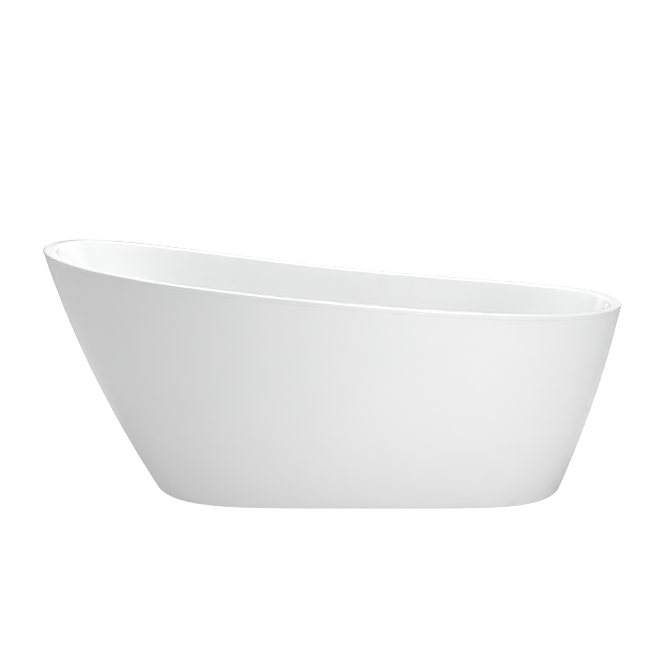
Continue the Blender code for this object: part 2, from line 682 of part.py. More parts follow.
def nut_mesh():
    top = RAIL_BOTTOM - GAP
    work = part("nut_work", rod_mesh("nut", NUT_RADIUS, top - NUT_HEIGHT, top, 6), FASTENER)
    bore = rod_mesh("nut_bore", STUD_HOLE, top - 2 * NUT_HEIGHT, top + NUT_HEIGHT, SMALL_SEGMENTS)
    combine(work, cutter("nut_bore", bore), "DIFFERENCE")
    made = evaluated_mesh(work)
    bpy.data.objects.remove(work)
    return made


def pad_mesh():
    profile = [
        (0.0, SOCKET_FLOOR),
        (STUD_HOLE, SOCKET_FLOOR),
        (STUD_HOLE, PAD_BOSS_TOP),
        (PAD_BOSS_RADIUS, PAD_BOSS_TOP),
        (PAD_BOSS_RADIUS * 1.1, PAD_BOSS_TOP / 2),
        (PAD_RADIUS * 0.94, PAD_RIM_HEIGHT),
        (PAD_RADIUS, PAD_RIM_HEIGHT * 0.7),
        (PAD_RADIUS, 0.0),
        (0.0, 0.0),
    ]
    return turned_mesh("foot_pad", profile, segments=16)


def make_feet():
    stud, nut, pad = stud_mesh(), nut_mesh(), pad_mesh()
    for end, x in FOOT_XS.items():
        for side, sign in (("left", 1), ("right", -1)):
            at = (x, sign * RAIL_Y, 0)
            part(f"foot_pad_{end}_{side}", pad, PAD_PLASTIC, location=at)
            part(f"foot_stud_{end}_{side}", stud, FASTENER, location=at)
            part(f"foot_lock_nut_{end}_{side}", nut, FASTENER, location=at)


# ---------------------------------------------------------------- drain


def bridge_across(obj, bore, hub, bottom, hole, parent):
    """Joins a cross of two bars with a drilled hub into a flange's barrel."""
    name = obj.name
    top = bottom + BRIDGE_HEIGHT
    middle = (top + bottom) / 2
    for turn, size in (("x", (1, 0)), ("y", (0, 1))):
        bar = [2 * bore + BRIDGE_WIDTH / 4 if k else BRIDGE_WIDTH for k in size]
        mesh = box_mesh("bridge_bar", (*bar, BRIDGE_HEIGHT), (0, 0, middle))
        combine(obj, cutter(f"{name}_bar_{turn}", mesh, parent), "UNION")
    mesh = rod_mesh("bridge_hub", hub, bottom, top)
    combine(obj, cutter(f"{name}_hub", mesh, parent), "UNION")
    mesh = rod_mesh("bridge_hole", hole, bottom - BRIDGE_HEIGHT, top + BRIDGE_HEIGHT)
    combine(obj, cutter(f"{name}_hub_hole", mesh, parent), "DIFFERENCE")


def make_drain_flange(drain):
    """The chrome flange in the basin's floor. Heights are above the floor's surface."""
    profile = [
        (BARREL_BORE, -GAP - FLANGE_THICKNESS / 2),
        (FUNNEL_RADIUS, FLANGE_THICKNESS * 0.6),
        (FUNNEL_RADIUS * 1.04, FLANGE_THICKNESS),
        (FLANGE_RADIUS * 0.96, FLANGE_THICKNESS),
        (FLANGE_RADIUS, FLANGE_THICKNESS * 0.5),
        (FLANGE_RADIUS, GAP),
        (BARREL_RADIUS, GAP),
        (BARREL_RADIUS, -BARREL_LENGTH),
        (BARREL_BORE, -BARREL_LENGTH),
    ]
    flange = part("drain_flange", turned_mesh("drain_flange", profile, closed=True), CHROME, drain)
    hole = CARTRIDGE_RADIUS + GAP
    bridge_across(flange, BARREL_BORE, HUB_RADIUS, -BARREL_LENGTH, hole, drain)


def make_waste(drain):
    """The waste body under the floor, with a side inlet for the overflow and a socket for the tailpiece."""
    top = -BASIN_WALL - SEAL_THICKNESS - 2 * GAP
    seal = ring_profile(DRAIN_HOLE_RADIUS, WASTE_FLANGE_RADIUS, top + GAP, -BASIN_WALL - GAP)
    part("drain_seal", turned_mesh("drain_seal", seal, closed=True), RUBBER, drain)
    profile = [
        (BARREL_THREAD, top),
        (WASTE_FLANGE_RADIUS, top),
        (WASTE_FLANGE_RADIUS, top - WASTE_FLANGE_HEIGHT),
        (WASTE_RADIUS, top - WASTE_FLANGE_HEIGHT),
        (WASTE_RADIUS, top - WASTE_LENGTH),
        (WASTE_BORE, top - WASTE_LENGTH),
        (WASTE_BORE, top - WASTE_THREAD_DEPTH),
        (BARREL_THREAD, top - WASTE_THREAD_DEPTH),
    ]
    waste = part("waste_body", turned_mesh("waste_body", profile, closed=True), WASTE_PLASTIC, drain)
    inlet = (0, 0, top - SIDE_INLET_DROP)
    sideways = (0, math.pi / 2, 0)
    start = (WASTE_RADIUS + WASTE_BORE) / 2
    spigot = rod_mesh("waste_inlet", SPIGOT_RADIUS, start, SPIGOT_REACH)
    combine(waste, cutter("waste_inlet", spigot, drain, inlet, sideways), "UNION")
    bore = rod_mesh("waste_inlet_bore", SPIGOT_BORE, WASTE_BORE / 2, SPIGOT_REACH * 1.1)
    combine(waste, cutter("waste_inlet_bore", bore, drain, inlet, sideways), "DIFFERENCE")
    return top


def make_outlet(drain, top):
    """The tailpiece in the waste body's lower end, held by a slip nut over a sealing washer."""
    end = top - WASTE_LENGTH
    bottom = OUTLET_Z - BASIN_FLOOR_Z
    profile = ring_profile(TAILPIECE_BORE, TAILPIECE_RADIUS, bottom, end + TAILPIECE_INSERT)
    part("outlet_tailpiece", turned_mesh("outlet_tailpiece", profile, closed=True), WASTE_PLASTIC, drain)
    clear = TAILPIECE_RADIUS + GAP
    profile = ring_profile(clear, WASTE_RADIUS - GAP, end - GAP - SLIP_WASHER_HEIGHT, end - GAP)
    part("slip_washer", turned_mesh("slip_washer", profile, closed=True), RUBBER, drain)
    shoulder = end - 2 * GAP - SLIP_WASHER_HEIGHT
    thread = WASTE_RADIUS + RUNNING_GAP
    profile = [
        (thread, shoulder + SLIP_NUT_HEIGHT * 0.8),
        (SLIP_NUT_RADIUS, shoulder + SLIP_NUT_HEIGHT * 0.8),
        (SLIP_NUT_RADIUS, shoulder - SLIP_NUT_HEIGHT * 0.2),
        (clear, shoulder - SLIP_NUT_HEIGHT * 0.2),
        (clear, shoulder),
        (thread, shoulder),
    ]
    part("slip_nut", turned_mesh("slip_nut", profile, closed=True), WASTE_PLASTIC, drain)


def make_stopper(drain):
    """The push-to-close stopper: a cap, its seal and stem slide in a cartridge screwed into the bridge."""
    under = FLANGE_THICKNESS * 1.25 + STOPPER_TRAVEL
    boss = under - CAP_BOSS_HEIGHT
    profile = [
        (0.0, under + CAP_DOME),
        (CAP_RADIUS * 0.45, under + CAP_DOME * 0.93),
        (CAP_RADIUS * 0.80, under + CAP_DOME * 0.68),
        (CAP_RADIUS * 0.97, under + CAP_EDGE),
        (CAP_RADIUS, under + CAP_EDGE * 0.6),
        (CAP_RADIUS, under),
        (CAP_BOSS_RADIUS, under),
        (CAP_BOSS_RADIUS, boss),
        (0.0, boss),
    ]
    part("stopper_cap", turned_mesh("stopper_cap", profile, segments=28), CHROME, drain)
    profile = ring_profile(CAP_BOSS_RADIUS + GAP, CAP_SEAL_RADIUS, boss + GAP, under - GAP)
    part("stopper_seal", turned_mesh("stopper_seal", profile, closed=True), RUBBER, drain)

    bridge_top = -BARREL_LENGTH + BRIDGE_HEIGHT
    base = -BARREL_LENGTH - CARTRIDGE_DEPTH
    seat = base + CARTRIDGE_BOTTOM
    collar = bridge_top + GAP
    neck = collar + CARTRIDGE_COLLAR_HEIGHT + CARTRIDGE_NECK
    profile = [
        (0.0, seat),
        (CARTRIDGE_BORE, seat),
        (CARTRIDGE_BORE, neck),
        (CARTRIDGE_RADIUS, neck),
        (CARTRIDGE_RADIUS, collar + CARTRIDGE_COLLAR_HEIGHT),
        (CARTRIDGE_COLLAR_RADIUS, collar + CARTRIDGE_COLLAR_HEIGHT),
        (CARTRIDGE_COLLAR_RADIUS, collar),
        (CARTRIDGE_RADIUS, collar),
        (CARTRIDGE_RADIUS, base),
        (0.0, base),
    ]
    part("stopper_cartridge", turned_mesh("stopper_cartridge", profile, segments=16), BRASS, drain)
    spring_top = seat + GAP + SPRING_HEIGHT
    stem = rod_mesh("stopper_stem", STEM_RADIUS, spring_top + GAP, boss - GAP, 16)
    rounded_shading(stem)
    part("stopper_stem", stem, BRASS, drain)
    make_spring(drain, seat + GAP)


def make_spring(drain, bottom):
    """The cartridge's compression spring, a helix between the cartridge's floor and the stem."""
    coil_radius = CARTRIDGE_BORE - 2 * GAP - SPRING_WIRE_RADIUS
    steps_a_turn = 9
    count = SPRING_TURNS * steps_a_turn + 1
    low, high = bottom + SPRING_WIRE_RADIUS, bottom + SPRING_HEIGHT - SPRING_WIRE_RADIUS
    curve = bpy.data.curves.new("stopper_spring", "CURVE")
    curve.dimensions = "3D"
    curve.bevel_depth = SPRING_WIRE_RADIUS
    curve.bevel_resolution = 1
    curve.use_fill_caps = True
    spline = curve.splines.new("POLY")
    spline.points.add(count - 1)
    for k in range(count):
        angle = 2 * math.pi * k / steps_a_turn
        height = low + (high - low) * k / (count - 1)
        place = (coil_radius * math.cos(angle), coil_radius * math.sin(angle), height, 1)
        spline.points[k].co = place
    spring = bpy.data.objects.new("stopper_spring", curve)
    spring.data.materials.append(material(FASTENER))
    spring.parent = drain
    PARTS.objects.link(spring)


# ---------------------------------------------------------------- overflow


def overflow_axis():
    """An empty on the basin's foot wall, its +Z out of the wall into the basin and its +X up the wall."""
    inner, corner = basin_corners(0)[2:]
    up = (inner - corner).normalized()
    height = FOOT_HEIGHT - OVERFLOW_DROP
    tilt = math.atan2(-up.z, up.x)
    seat = Vector((-math.sin(tilt), 0, math.cos(tilt))) * OVERFLOW_SEAT_DEPTH
    return empty("overflow_axis", corner + up * (height - corner.z) / up.z - seat, (0, tilt, 0))


def make_overflow(axis):
    """The chrome overflow ring and cap in the wall, and the elbow behind it."""
    profile = [
        (OVERFLOW_BORE, OVERFLOW_FLANGE_THICKNESS),
        (OVERFLOW_FLANGE_RADIUS * 0.95, OVERFLOW_FLANGE_THICKNESS),
        (OVERFLOW_FLANGE_RADIUS, OVERFLOW_FLANGE_THICKNESS * 0.5),
        (OVERFLOW_FLANGE_RADIUS, GAP),
        (OVERFLOW_BARREL_RADIUS, GAP),
        (OVERFLOW_BARREL_RADIUS, -OVERFLOW_BARREL_LENGTH),
        (OVERFLOW_BORE, -OVERFLOW_BARREL_LENGTH),
    ]
    ring = part("overflow_flange", turned_mesh("overflow_flange", profile, closed=True), CHROME, axis)
    hub, hole = 2 * OVERFLOW_STEM_RADIUS, OVERFLOW_STEM_RADIUS + GAP
    bridge_across(ring, OVERFLOW_BORE, hub, -OVERFLOW_BARREL_LENGTH, hole, axis)

    under = OVERFLOW_CAP_STANDOFF
    profile = [
        (0.0, under + OVERFLOW_CAP_DOME),
        (OVERFLOW_CAP_RADIUS * 0.55, under + OVERFLOW_CAP_DOME * 0.92),
        (OVERFLOW_CAP_RADIUS * 0.95, under + OVERFLOW_CAP_EDGE),
        (OVERFLOW_CAP_RADIUS, under + OVERFLOW_CAP_EDGE * 0.6),
        (OVERFLOW_CAP_RADIUS, under),
        (OVERFLOW_STEM_RADIUS, under),
        (OVERFLOW_STEM_RADIUS, -OVERFLOW_BARREL_LENGTH),
        (0.0, -OVERFLOW_BARREL_LENGTH),
    ]
    part("overflow_cap", turned_mesh("overflow_cap", profile, segments=28), CHROME, axis)

    front = -BASIN_WALL - SEAL_THICKNESS - 2 * GAP
    seal = ring_profile(OVERFLOW_HOLE_RADIUS, ELBOW_FLANGE_RADIUS, front + GAP, -BASIN_WALL - GAP)
    part("overflow_seal", turned_mesh("overflow_seal", seal, closed=True), RUBBER, axis)
    back = front - ELBOW_DEPTH
    profile = [
        (0.0, back + ELBOW_BACK),
        (ELBOW_BORE, back + ELBOW_BACK),
        (ELBOW_BORE, front),
        (ELBOW_FLANGE_RADIUS, front),
        (ELBOW_FLANGE_RADIUS, front - ELBOW_BACK),
        (ELBOW_RADIUS, front - ELBOW_BACK),
        (ELBOW_RADIUS, back),
        (0.0, back),
    ]
    elbow = part("overflow_elbow", turned_mesh("overflow_elbow", profile), WASTE_PLASTIC, axis)
    outlet = (0, 0, (front - ELBOW_BACK + back) / 2)
    down = (0, -math.pi / 2, 0)
    start = (ELBOW_RADIUS + ELBOW_BORE) / 2
    spigot = rod_mesh("elbow_spigot", SPIGOT_RADIUS, start, SPIGOT_REACH)
    combine(elbow, cutter("elbow_spigot", spigot, axis, outlet, down), "UNION")
    bore = rod_mesh("elbow_spigot_bore", SPIGOT_BORE, ELBOW_BORE / 2, SPIGOT_REACH * 1.1)
    combine(elbow, cutter("elbow_spigot_bore", bore, axis, outlet, down), "DIFFERENCE")
    return axis.matrix_basis @ Vector(outlet)


def make_hose(axis, elbow_outlet, inlet_height):
    """The overflow hose, one sweep from over the elbow's spigot to over the waste body's."""
    down = -(axis.matrix_basis.to_3x3() @ Vector((1, 0, 0)))
    start = elbow_outlet + down * (SPIGOT_REACH - HOSE_OVERLAP)
    end = Vector((DRAIN_X + SPIGOT_REACH - HOSE_OVERLAP, 0, inlet_height))
    toward = Vector((1, 0, 0))
    curve = bpy.data.curves.new("overflow_hose", "CURVE")
    curve.dimensions = "3D"
    curve.bevel_depth = HOSE_RADIUS
    curve.bevel_resolution = HOSE_BEVEL
    spline = curve.splines.new("POLY")
    straight_a, straight_b = start + down * HOSE_OVERLAP, end + toward * HOSE_OVERLAP
    handle_a = straight_a + down * HOSE_HANDLES[0] * (straight_a.z - straight_b.z)
    handle_b = straight_b + toward * HOSE_HANDLES[1] * (straight_a.x - straight_b.x)
    steps = 14
    path = [start]
    for k in range(steps + 1):
        t = k / steps
        weights = ((1 - t) ** 3, 3 * t * (1 - t) ** 2, 3 * t * t * (1 - t), t**3)
        corners = (straight_a, handle_a, handle_b, straight_b)
        path.append(sum((c * w for c, w in zip(corners, weights)), Vector()))
    path.append(end)
    spline.points.add(len(path) - 1)
    for point, place in zip(spline.points, path):
        point.co = (*place, 1)
    work = bpy.data.objects.new("hose_work", curve)
    bpy.context.scene.collection.objects.link(work)
    mesh = evaluated_mesh(work)
    bpy.data.objects.remove(work)
    hose = part("overflow_hose", mesh, HOSE_PLASTIC)
    solidify(hose, HOSE_RADIUS - HOSE_BORE)
    rounded_shading(mesh)
    for name, place, along in (("upper", start, down), ("lower", end, toward)):
        centre = place + along * HOSE_OVERLAP / 2
        make_clamp(f"hose_clamp_{name}", centre, along)


def make_clamp(name, centre, along):
    """A band round the hose with its screw housing on one side."""
    turn = (0, math.atan2(along.x, along.z), 0)
    inner = HOSE_RADIUS + GAP
    outer = inner + CLAMP_BAND
    profile = ring_profile(inner, outer, -CLAMP_WIDTH / 2, CLAMP_WIDTH / 2)
    clamp = part(name, turned_mesh(name, profile, closed=True), FASTENER, None, centre, turn)
    size = (CLAMP_WIDTH * 1.4, CLAMP_WIDTH * 0.7, CLAMP_WIDTH)
    housing = box_mesh(name + "_housing", size, (0, outer + size[1] / 2 - CLAMP_BAND / 3, 0))
    combine(clamp, cutter(name + "_housing", housing, None, centre, turn), "UNION")


def main():
    overflow = overflow_axis()
    drain = empty("drain_axis", (DRAIN_X, 0, BASIN_FLOOR_Z))
    make_basin(overflow)
    make_skirt()
    make_bead()
    make_board()
    make_crossbars()
    bolt = bolt_mesh()
    for side, sign in (("left", 1), ("right", -1)):
        make_rail(side, sign)
        for end, x in BRACKET_XS.items():
            make_bracket(end, x, side, sign, bolt)
    make_feet()
    make_drain_flange(drain)
    waste_top = make_waste(drain)
    make_outlet(drain, waste_top)
    make_stopper(drain)
    elbow_outlet = make_overflow(overflow)
    make_hose(overflow, elbow_outlet, BASIN_FLOOR_Z + waste_top - SIDE_INLET_DROP)


clear_scene()
PARTS = collection("bathtub")
CUTTERS = collection("cutters")
CUTTERS.hide_render = True
main()
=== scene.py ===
"""The freestanding bathtub's visual model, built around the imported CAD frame. Metres, +Z up, head end at -X.

Every part but the skirt's brackets is rebuilt finer than its CAD solid, in the same place and size.
Every surface has a node material.
"""

import math

import bmesh
import bpy
from mathutils import Matrix, Vector


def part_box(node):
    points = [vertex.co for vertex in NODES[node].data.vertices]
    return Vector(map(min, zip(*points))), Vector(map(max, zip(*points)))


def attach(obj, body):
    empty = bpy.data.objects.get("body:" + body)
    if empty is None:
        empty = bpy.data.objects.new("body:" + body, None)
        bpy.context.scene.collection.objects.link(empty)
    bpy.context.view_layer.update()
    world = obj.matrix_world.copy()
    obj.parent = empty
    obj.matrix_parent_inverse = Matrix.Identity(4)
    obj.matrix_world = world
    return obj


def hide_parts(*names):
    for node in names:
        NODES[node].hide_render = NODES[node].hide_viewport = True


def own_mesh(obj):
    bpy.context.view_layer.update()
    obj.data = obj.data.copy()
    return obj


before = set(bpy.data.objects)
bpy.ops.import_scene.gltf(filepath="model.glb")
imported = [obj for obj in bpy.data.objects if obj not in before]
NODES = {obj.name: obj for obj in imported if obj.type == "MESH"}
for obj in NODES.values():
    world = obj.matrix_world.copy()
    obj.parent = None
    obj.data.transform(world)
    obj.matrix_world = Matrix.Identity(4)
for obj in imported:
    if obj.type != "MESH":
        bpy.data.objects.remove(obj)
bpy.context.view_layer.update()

# ---------------------------------------------------------------- sizes, as in the CAD source

LENGTH, WIDTH = 1.700, 0.780
HEAD_HEIGHT, FOOT_HEIGHT, RIM_SAG = 0.708, 0.552, 0.824
RIM_SHAPE = (LENGTH, WIDTH, 0.0, (4.0, 5.0), (2.25, 2.25), 0.094)
BASE_SHAPE = (1.214, 0.690, 0.078, (4.6, 6.5), (2.0, 2.0), 0.092)
FLOOR_SHAPE = (1.070, 0.570, 0.065, (3.2, 3.6), (2.3, 2.3), 0.06)
HEAD_BULGE, FOOT_BULGE = 0.371, 0.360
FLOOR_GAP, GAP = 0.003, 0.0003
WALL = 0.005
RIM_WIDTH, LIP_HEIGHT = 0.036, 0.014
RIM_OUTER_RADIUS, RIM_INNER_RADIUS, BASE_EDGE_RADIUS = 0.0032, 0.008, 0.0065
FLANGE_WIDTH = 0.032
BASIN_FLOOR_Z = 0.140
FILLET_ON_WALL, FILLET_ON_FLOOR = 0.160, 0.090
BEAD_CLEARANCE, BEAD_WIDTH, BEAD_HEIGHT = 0.0011, 0.009, 0.020
RUNNING_GAP = 0.0006
SEAL_THICKNESS = 0.0024
BEHIND_SEAL = -WALL - SEAL_THICKNESS - 2 * GAP

# Drain: heights are above the basin's floor
DRAIN_HOLE_RADIUS = 0.0240
BARREL_RADIUS, BARREL_BORE, BARREL_BOTTOM = 0.0225, 0.0190, -0.034
THREAD_BORE = BARREL_RADIUS + RUNNING_GAP
FUNNEL_RADIUS, FLANGE_RADIUS, FLANGE_THICKNESS = 0.0260, 0.0360, 0.0032
BRIDGE_HEIGHT, BRIDGE_WIDTH, HUB_RADIUS = 0.004, 0.006, 0.0098
WASTE_RADIUS, WASTE_BORE, WASTE_FLANGE_RADIUS, WASTE_FLANGE_HEIGHT = 0.0270, 0.0206, 0.0340, 0.005
WASTE_BOTTOM, THREAD_BOTTOM, INLET_HEIGHT = BEHIND_SEAL - 0.073, BEHIND_SEAL - 0.030, BEHIND_SEAL - 0.039
TAILPIECE_RADIUS, TAILPIECE_BORE, TAILPIECE_INSERT, OUTLET_Z = 0.0200, 0.0180, 0.022, 0.015
SLIP_NUT_RADIUS, SLIP_NUT_HEIGHT, SLIP_WASHER_HEIGHT = 0.0345, 0.018, 0.004

# Stopper
STOPPER_TRAVEL = 0.009
CAP_UNDERSIDE = FLANGE_THICKNESS * 1.25 + STOPPER_TRAVEL
CAP_RADIUS, CAP_BOSS_RADIUS, CAP_SEAL_RADIUS, CAP_BOSS = 0.0310, 0.0142, 0.0236, CAP_UNDERSIDE - 0.0033
STEM_RADIUS = 0.0048
CARTRIDGE_RADIUS, CARTRIDGE_BORE, CARTRIDGE_COLLAR_RADIUS = 0.0067, 0.0053, 0.0088
CARTRIDGE_BOTTOM = BARREL_BOTTOM - 0.018
CARTRIDGE_SEAT = CARTRIDGE_BOTTOM + 0.0015
CARTRIDGE_COLLAR = BARREL_BOTTOM + BRIDGE_HEIGHT + GAP
SPRING_BOTTOM, SPRING_HEIGHT, SPRING_TURNS, SPRING_WIRE_RADIUS = CARTRIDGE_SEAT + GAP, 0.0196, 5, 0.0005

# Overflow: heights are out of the wall
OVERFLOW_DROP, OVERFLOW_SEAT = 0.115, 0.0004
OVERFLOW_HOLE_RADIUS, OVERFLOW_FLANGE_RADIUS, OVERFLOW_FLANGE_THICKNESS = 0.0216, 0.0300, 0.0022
OVERFLOW_BARREL_RADIUS, OVERFLOW_BORE, OVERFLOW_BARREL_BOTTOM = 0.0205, 0.0178, -0.022
OVERFLOW_CAP_RADIUS, OVERFLOW_CAP_STANDOFF, OVERFLOW_STEM_RADIUS = 0.0340, 0.0070, 0.0040
ELBOW_RADIUS, ELBOW_BORE, ELBOW_FLANGE_RADIUS, ELBOW_WALL = 0.0260, 0.0214, 0.0330, 0.0025
ELBOW_BOTTOM = BEHIND_SEAL - 0.032
ELBOW_SPIGOT = (BEHIND_SEAL - ELBOW_WALL + ELBOW_BOTTOM) / 2
SPIGOT_RADIUS, SPIGOT_BORE, SPIGOT_REACH = 0.0112, 0.0090, 0.058
HOSE_BORE, HOSE_RADIUS, HOSE_OVERLAP, HOSE_HANDLES = 0.0121, 0.0145, 0.018, (0.534, 0.663)
CLAMP_WIDTH, CLAMP_BAND = 0.009, 0.0012

# Feet and frame: heights are above the floor
RAIL_BOTTOM = 0.0924
RAIL_FACE_Y = 0.185
TUBE_WALL = 0.002
STUD_RADIUS, STUD_HOLE, STUD_PITCH = 0.0060, 0.0066, 0.00175
STUD_BOTTOM, STUD_TOP = 0.0063, RAIL_BOTTOM + 0.026
COLLAR_RADIUS, COLLAR_BOTTOM, COLLAR_TOP = 0.0098, 0.0192, 0.0272
NUT_RADIUS, NUT_HEIGHT = 0.0110, 0.010
PAD_RADIUS, PAD_BOSS_RADIUS, PAD_BOSS_TOP, SOCKET_FLOOR = 0.0250, 0.0115, 0.018, 0.006
BOLT_RADIUS, BOLT_LENGTH, BOLT_PITCH = 0.0030, 0.0075, 0.0010
BOLT_HEAD_RADIUS, BOLT_HEAD_HEIGHT = 0.0058, 0.0040
BOLT_HOLE = BOLT_RADIUS + GAP

# Fineness
AROUND = 320
ROUND = 96


def oval_point(angle, shape):
    """A point of an egg-shaped outline in plan, from the foot tip at angle 0 round by +Y."""
    length, width, shift, side_powers, end_powers, taper = shape
    along = math.cos(angle)
    end = 0 if along < 0 else 1
    across = (1 - abs(along) ** side_powers[end]) ** (1 / end_powers[end]) * (1 - taper * along)
    return Vector((shift + length / 2 * along, width / 2 * math.copysign(across, math.sin(angle))))


def spread_angles(shape, count, samples=5760):
    """Angles that spread an outline's points half by length and half by turn."""
    dense = [oval_point(2 * math.pi * k / samples, shape) for k in range(samples)]
    steps = [dense[(k + 1) % samples] - dense[k] for k in range(samples)]
    turns = [abs(steps[k].angle_signed(steps[k - 1])) for k in range(samples)]
    perimeter, turned_by = sum(step.length for step in steps), sum(turns)
    reached = [0.0]
    for k in range(samples):
        turn = (turns[k] + turns[(k + 1) % samples]) / 2
        reached.append(reached[-1] + steps[k].length / perimeter / 2 + turn / turned_by / 2)
    found, k = [], 0
    for i in range(count):
        target = i / count * reached[-1]
        while reached[k + 1] < target:
            k += 1
        found.append(2 * math.pi * (k + (target - reached[k]) / (reached[k + 1] - reached[k])) / samples)
    return found


def inward(points):
    found = []
    for i in range(len(points)):
        along = (points[(i + 1) % len(points)] - points[i - 1]).normalized()
        found.append(Vector((-along.y, along.x)))
    return found


ANGLES = spread_angles(RIM_SHAPE, AROUND)
SHAPES = (RIM_SHAPE, BASE_SHAPE, FLOOR_SHAPE)
RIM, BASE, FLOOR = ([oval_point(angle, shape) for angle in ANGLES] for shape in SHAPES)
RIM_INWARD, FLOOR_INWARD = inward(RIM), inward(FLOOR)


def rim_height(x):
    share = x / LENGTH + 0.5
    return FOOT_HEIGHT + (HEAD_HEIGHT - FOOT_HEIGHT) * (1 - share) * (1 - RIM_SAG * share)


def skin(i, z, inset=0.0):
    """A point of the outer face at height z."""
    up = z / rim_height(RIM[i].x)
    bulge = HEAD_BULGE + (FOOT_BULGE - HEAD_BULGE) * (RIM[i].x / LENGTH + 0.5)
    plan = BASE[i].lerp(RIM[i], up + bulge * up * (1 - up)) + RIM_INWARD[i] * inset
    return Vector((plan.x, plan.y, z))


def rounded(before, corner, after, reach_before, reach_after, steps):
    """Points that round a corner, from reach_before ahead of it to reach_after past it."""
    a = corner + (before - corner).normalized() * reach_before
    b = corner + (after - corner).normalized() * reach_after
    shares = [k / steps for k in range(steps + 1)]
    return [a * (1 - t) ** 2 + corner * 2 * t * (1 - t) + b * t * t for t in shares]


def between(a, b, steps):
    """Points from a to b, both left out."""
    return [a.lerp(b, k / steps) for k in range(1, steps)]


# ---------------------------------------------------------------- mesh helpers


def grid(rings, closed_section=False, caps=False):
    """(vertices, faces) of quads between rings of equal length, each ring closed."""
    count = len(rings[0])
    vertices = [point for ring in rings for point in ring]
    faces = []
    for j in range(len(rings) if closed_section else len(rings) - 1):
        here, there = j * count, (j + 1) % len(rings) * count
        for i in range(count):
            k = (i + 1) % count
            faces.append((here + i, here + k, there + k, there + i))
    if caps:
        faces.append(tuple(reversed(range(count))))
        faces.append(tuple(range(len(vertices) - count, len(vertices))))
    return vertices, faces


def mesh_of(name, vertices, faces):
    mesh = bpy.data.meshes.new(name)
    mesh.from_pydata(vertices, [], faces)
    mesh.update()
    return mesh


def smooth(mesh, degrees=38):
    mesh.shade_smooth()
    mesh.set_sharp_from_angle(angle=math.radians(degrees))


def new_object(name, mesh, matrix=None):
    obj = bpy.data.objects.new(name, mesh)
    bpy.context.scene.collection.objects.link(obj)
    if matrix is not None:
        obj.matrix_world = matrix
    return obj


def applied(obj):
    """Replaces the object's mesh with its evaluated one, with no modifiers left on it."""
    bpy.context.view_layer.update()
    graph = bpy.context.evaluated_depsgraph_get()
    mesh = bpy.data.meshes.new_from_object(obj.evaluated_get(graph))
    obj.modifiers.clear()
    obj.data = mesh
    smooth(mesh)
    return obj


def cut(obj, tool, operation="DIFFERENCE"):
    boolean = obj.modifiers.new("cut", "BOOLEAN")
    boolean.operation = operation
    boolean.solver = "EXACT"
    boolean.object = tool
    applied(obj)
    bpy.data.objects.remove(tool)


def finish_piece(obj, body, nodes, materials):
    """Gives a piece its materials and its body, and hides the CAD nodes that it stands for."""
    kept = [face.material_index for face in obj.data.polygons]
    obj.data.materials.clear()
    for material in materials:
        obj.data.materials.append(material)
    for face, index in zip(obj.data.polygons, kept):
        face.material_index = min(index, len(materials) - 1)
    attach(obj, body)
    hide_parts(*nodes)
    return obj


def lathe(profile, segments, closed=False):
    """(vertices, faces) of a profile of (radius, height) turned about Z. Ends on the axis become points."""
    vertices, faces, rows = [], [], []
    for radius, height in profile:
        if radius < 1e-9:
            rows.append([len(vertices)] * segments)
            vertices.append(Vector((0, 0, height)))
            continue
        rows.append([len(vertices) + i for i in range(segments)])
        for i in range(segments):
            angle = 2 * math.pi * i / segments
            vertices.append(Vector((radius * math.cos(angle), radius * math.sin(angle), height)))
    count = len(rows) if closed else len(rows) - 1
    for j in range(count):
        a, b = rows[j], rows[(j + 1) % len(rows)]
        for i in range(segments):
            k = (i + 1) % segments
            corners = []
            for v in (a[i], b[i], b[k], a[k]):
                if v not in corners:
                    corners.append(v)
            faces.append(tuple(corners))
    return vertices, faces


def softened(profile, radius, closed):
    """The profile with its corners rounded, each by up to the radius. Points on the axis stay."""
    points = [Vector(p) for p in profile]
    result = []
    for k, point in enumerate(points):
        ends = not closed and k in (0, len(points) - 1)
        if ends:
            result.append(tuple(point))
            continue
        before, after = points[k - 1], points[(k + 1) % len(points)]
        reach = min(radius, (before - point).length * 0.45, (after - point).length * 0.45)
        a = point + (before - point).normalized() * reach
        b = point + (after - point).normalized() * reach
        for t in (0.0, 0.33, 0.67, 1.0):
            result.append(tuple(a * (1 - t) ** 2 + point * 2 * t * (1 - t) + b * t * t))
    return result


def turned(name, profile, matrix, radius, segments=72, closed=False):
    vertices, faces = lathe(softened(profile, radius, closed), segments, closed)
    mesh = mesh_of(name, vertices, faces)
    smooth(mesh, 30)
    return new_object(name, mesh, matrix)


def ring(inner, outer, bottom, top):
    return [(inner, top), (outer, top), (outer, bottom), (inner, bottom)]


def cylinder(radius, bottom, top, matrix, segments=64):
    return new_object("tool", mesh_of("tool", *lathe(
        [(0, top), (radius, top), (radius, bottom), (0, bottom)], segments)), matrix)


def box(size, centre, matrix):
    bm = bmesh.new()
    bmesh.ops.create_cube(bm, size=1.0)
    bmesh.ops.scale(bm, vec=size, verts=bm.verts)
    bmesh.ops.translate(bm, vec=centre, verts=bm.verts)
    mesh = bpy.data.meshes.new("tool")
    bm.to_mesh(mesh)
    bm.free()
    return new_object("tool", mesh, matrix)


def at(x, y, z, rotation=Matrix.Identity(4)):
    return Matrix.Translation((x, y, z)) @ rotation


def middle(node):
    low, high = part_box(node)
    return (low + high) / 2


# ---------------------------------------------------------------- materials


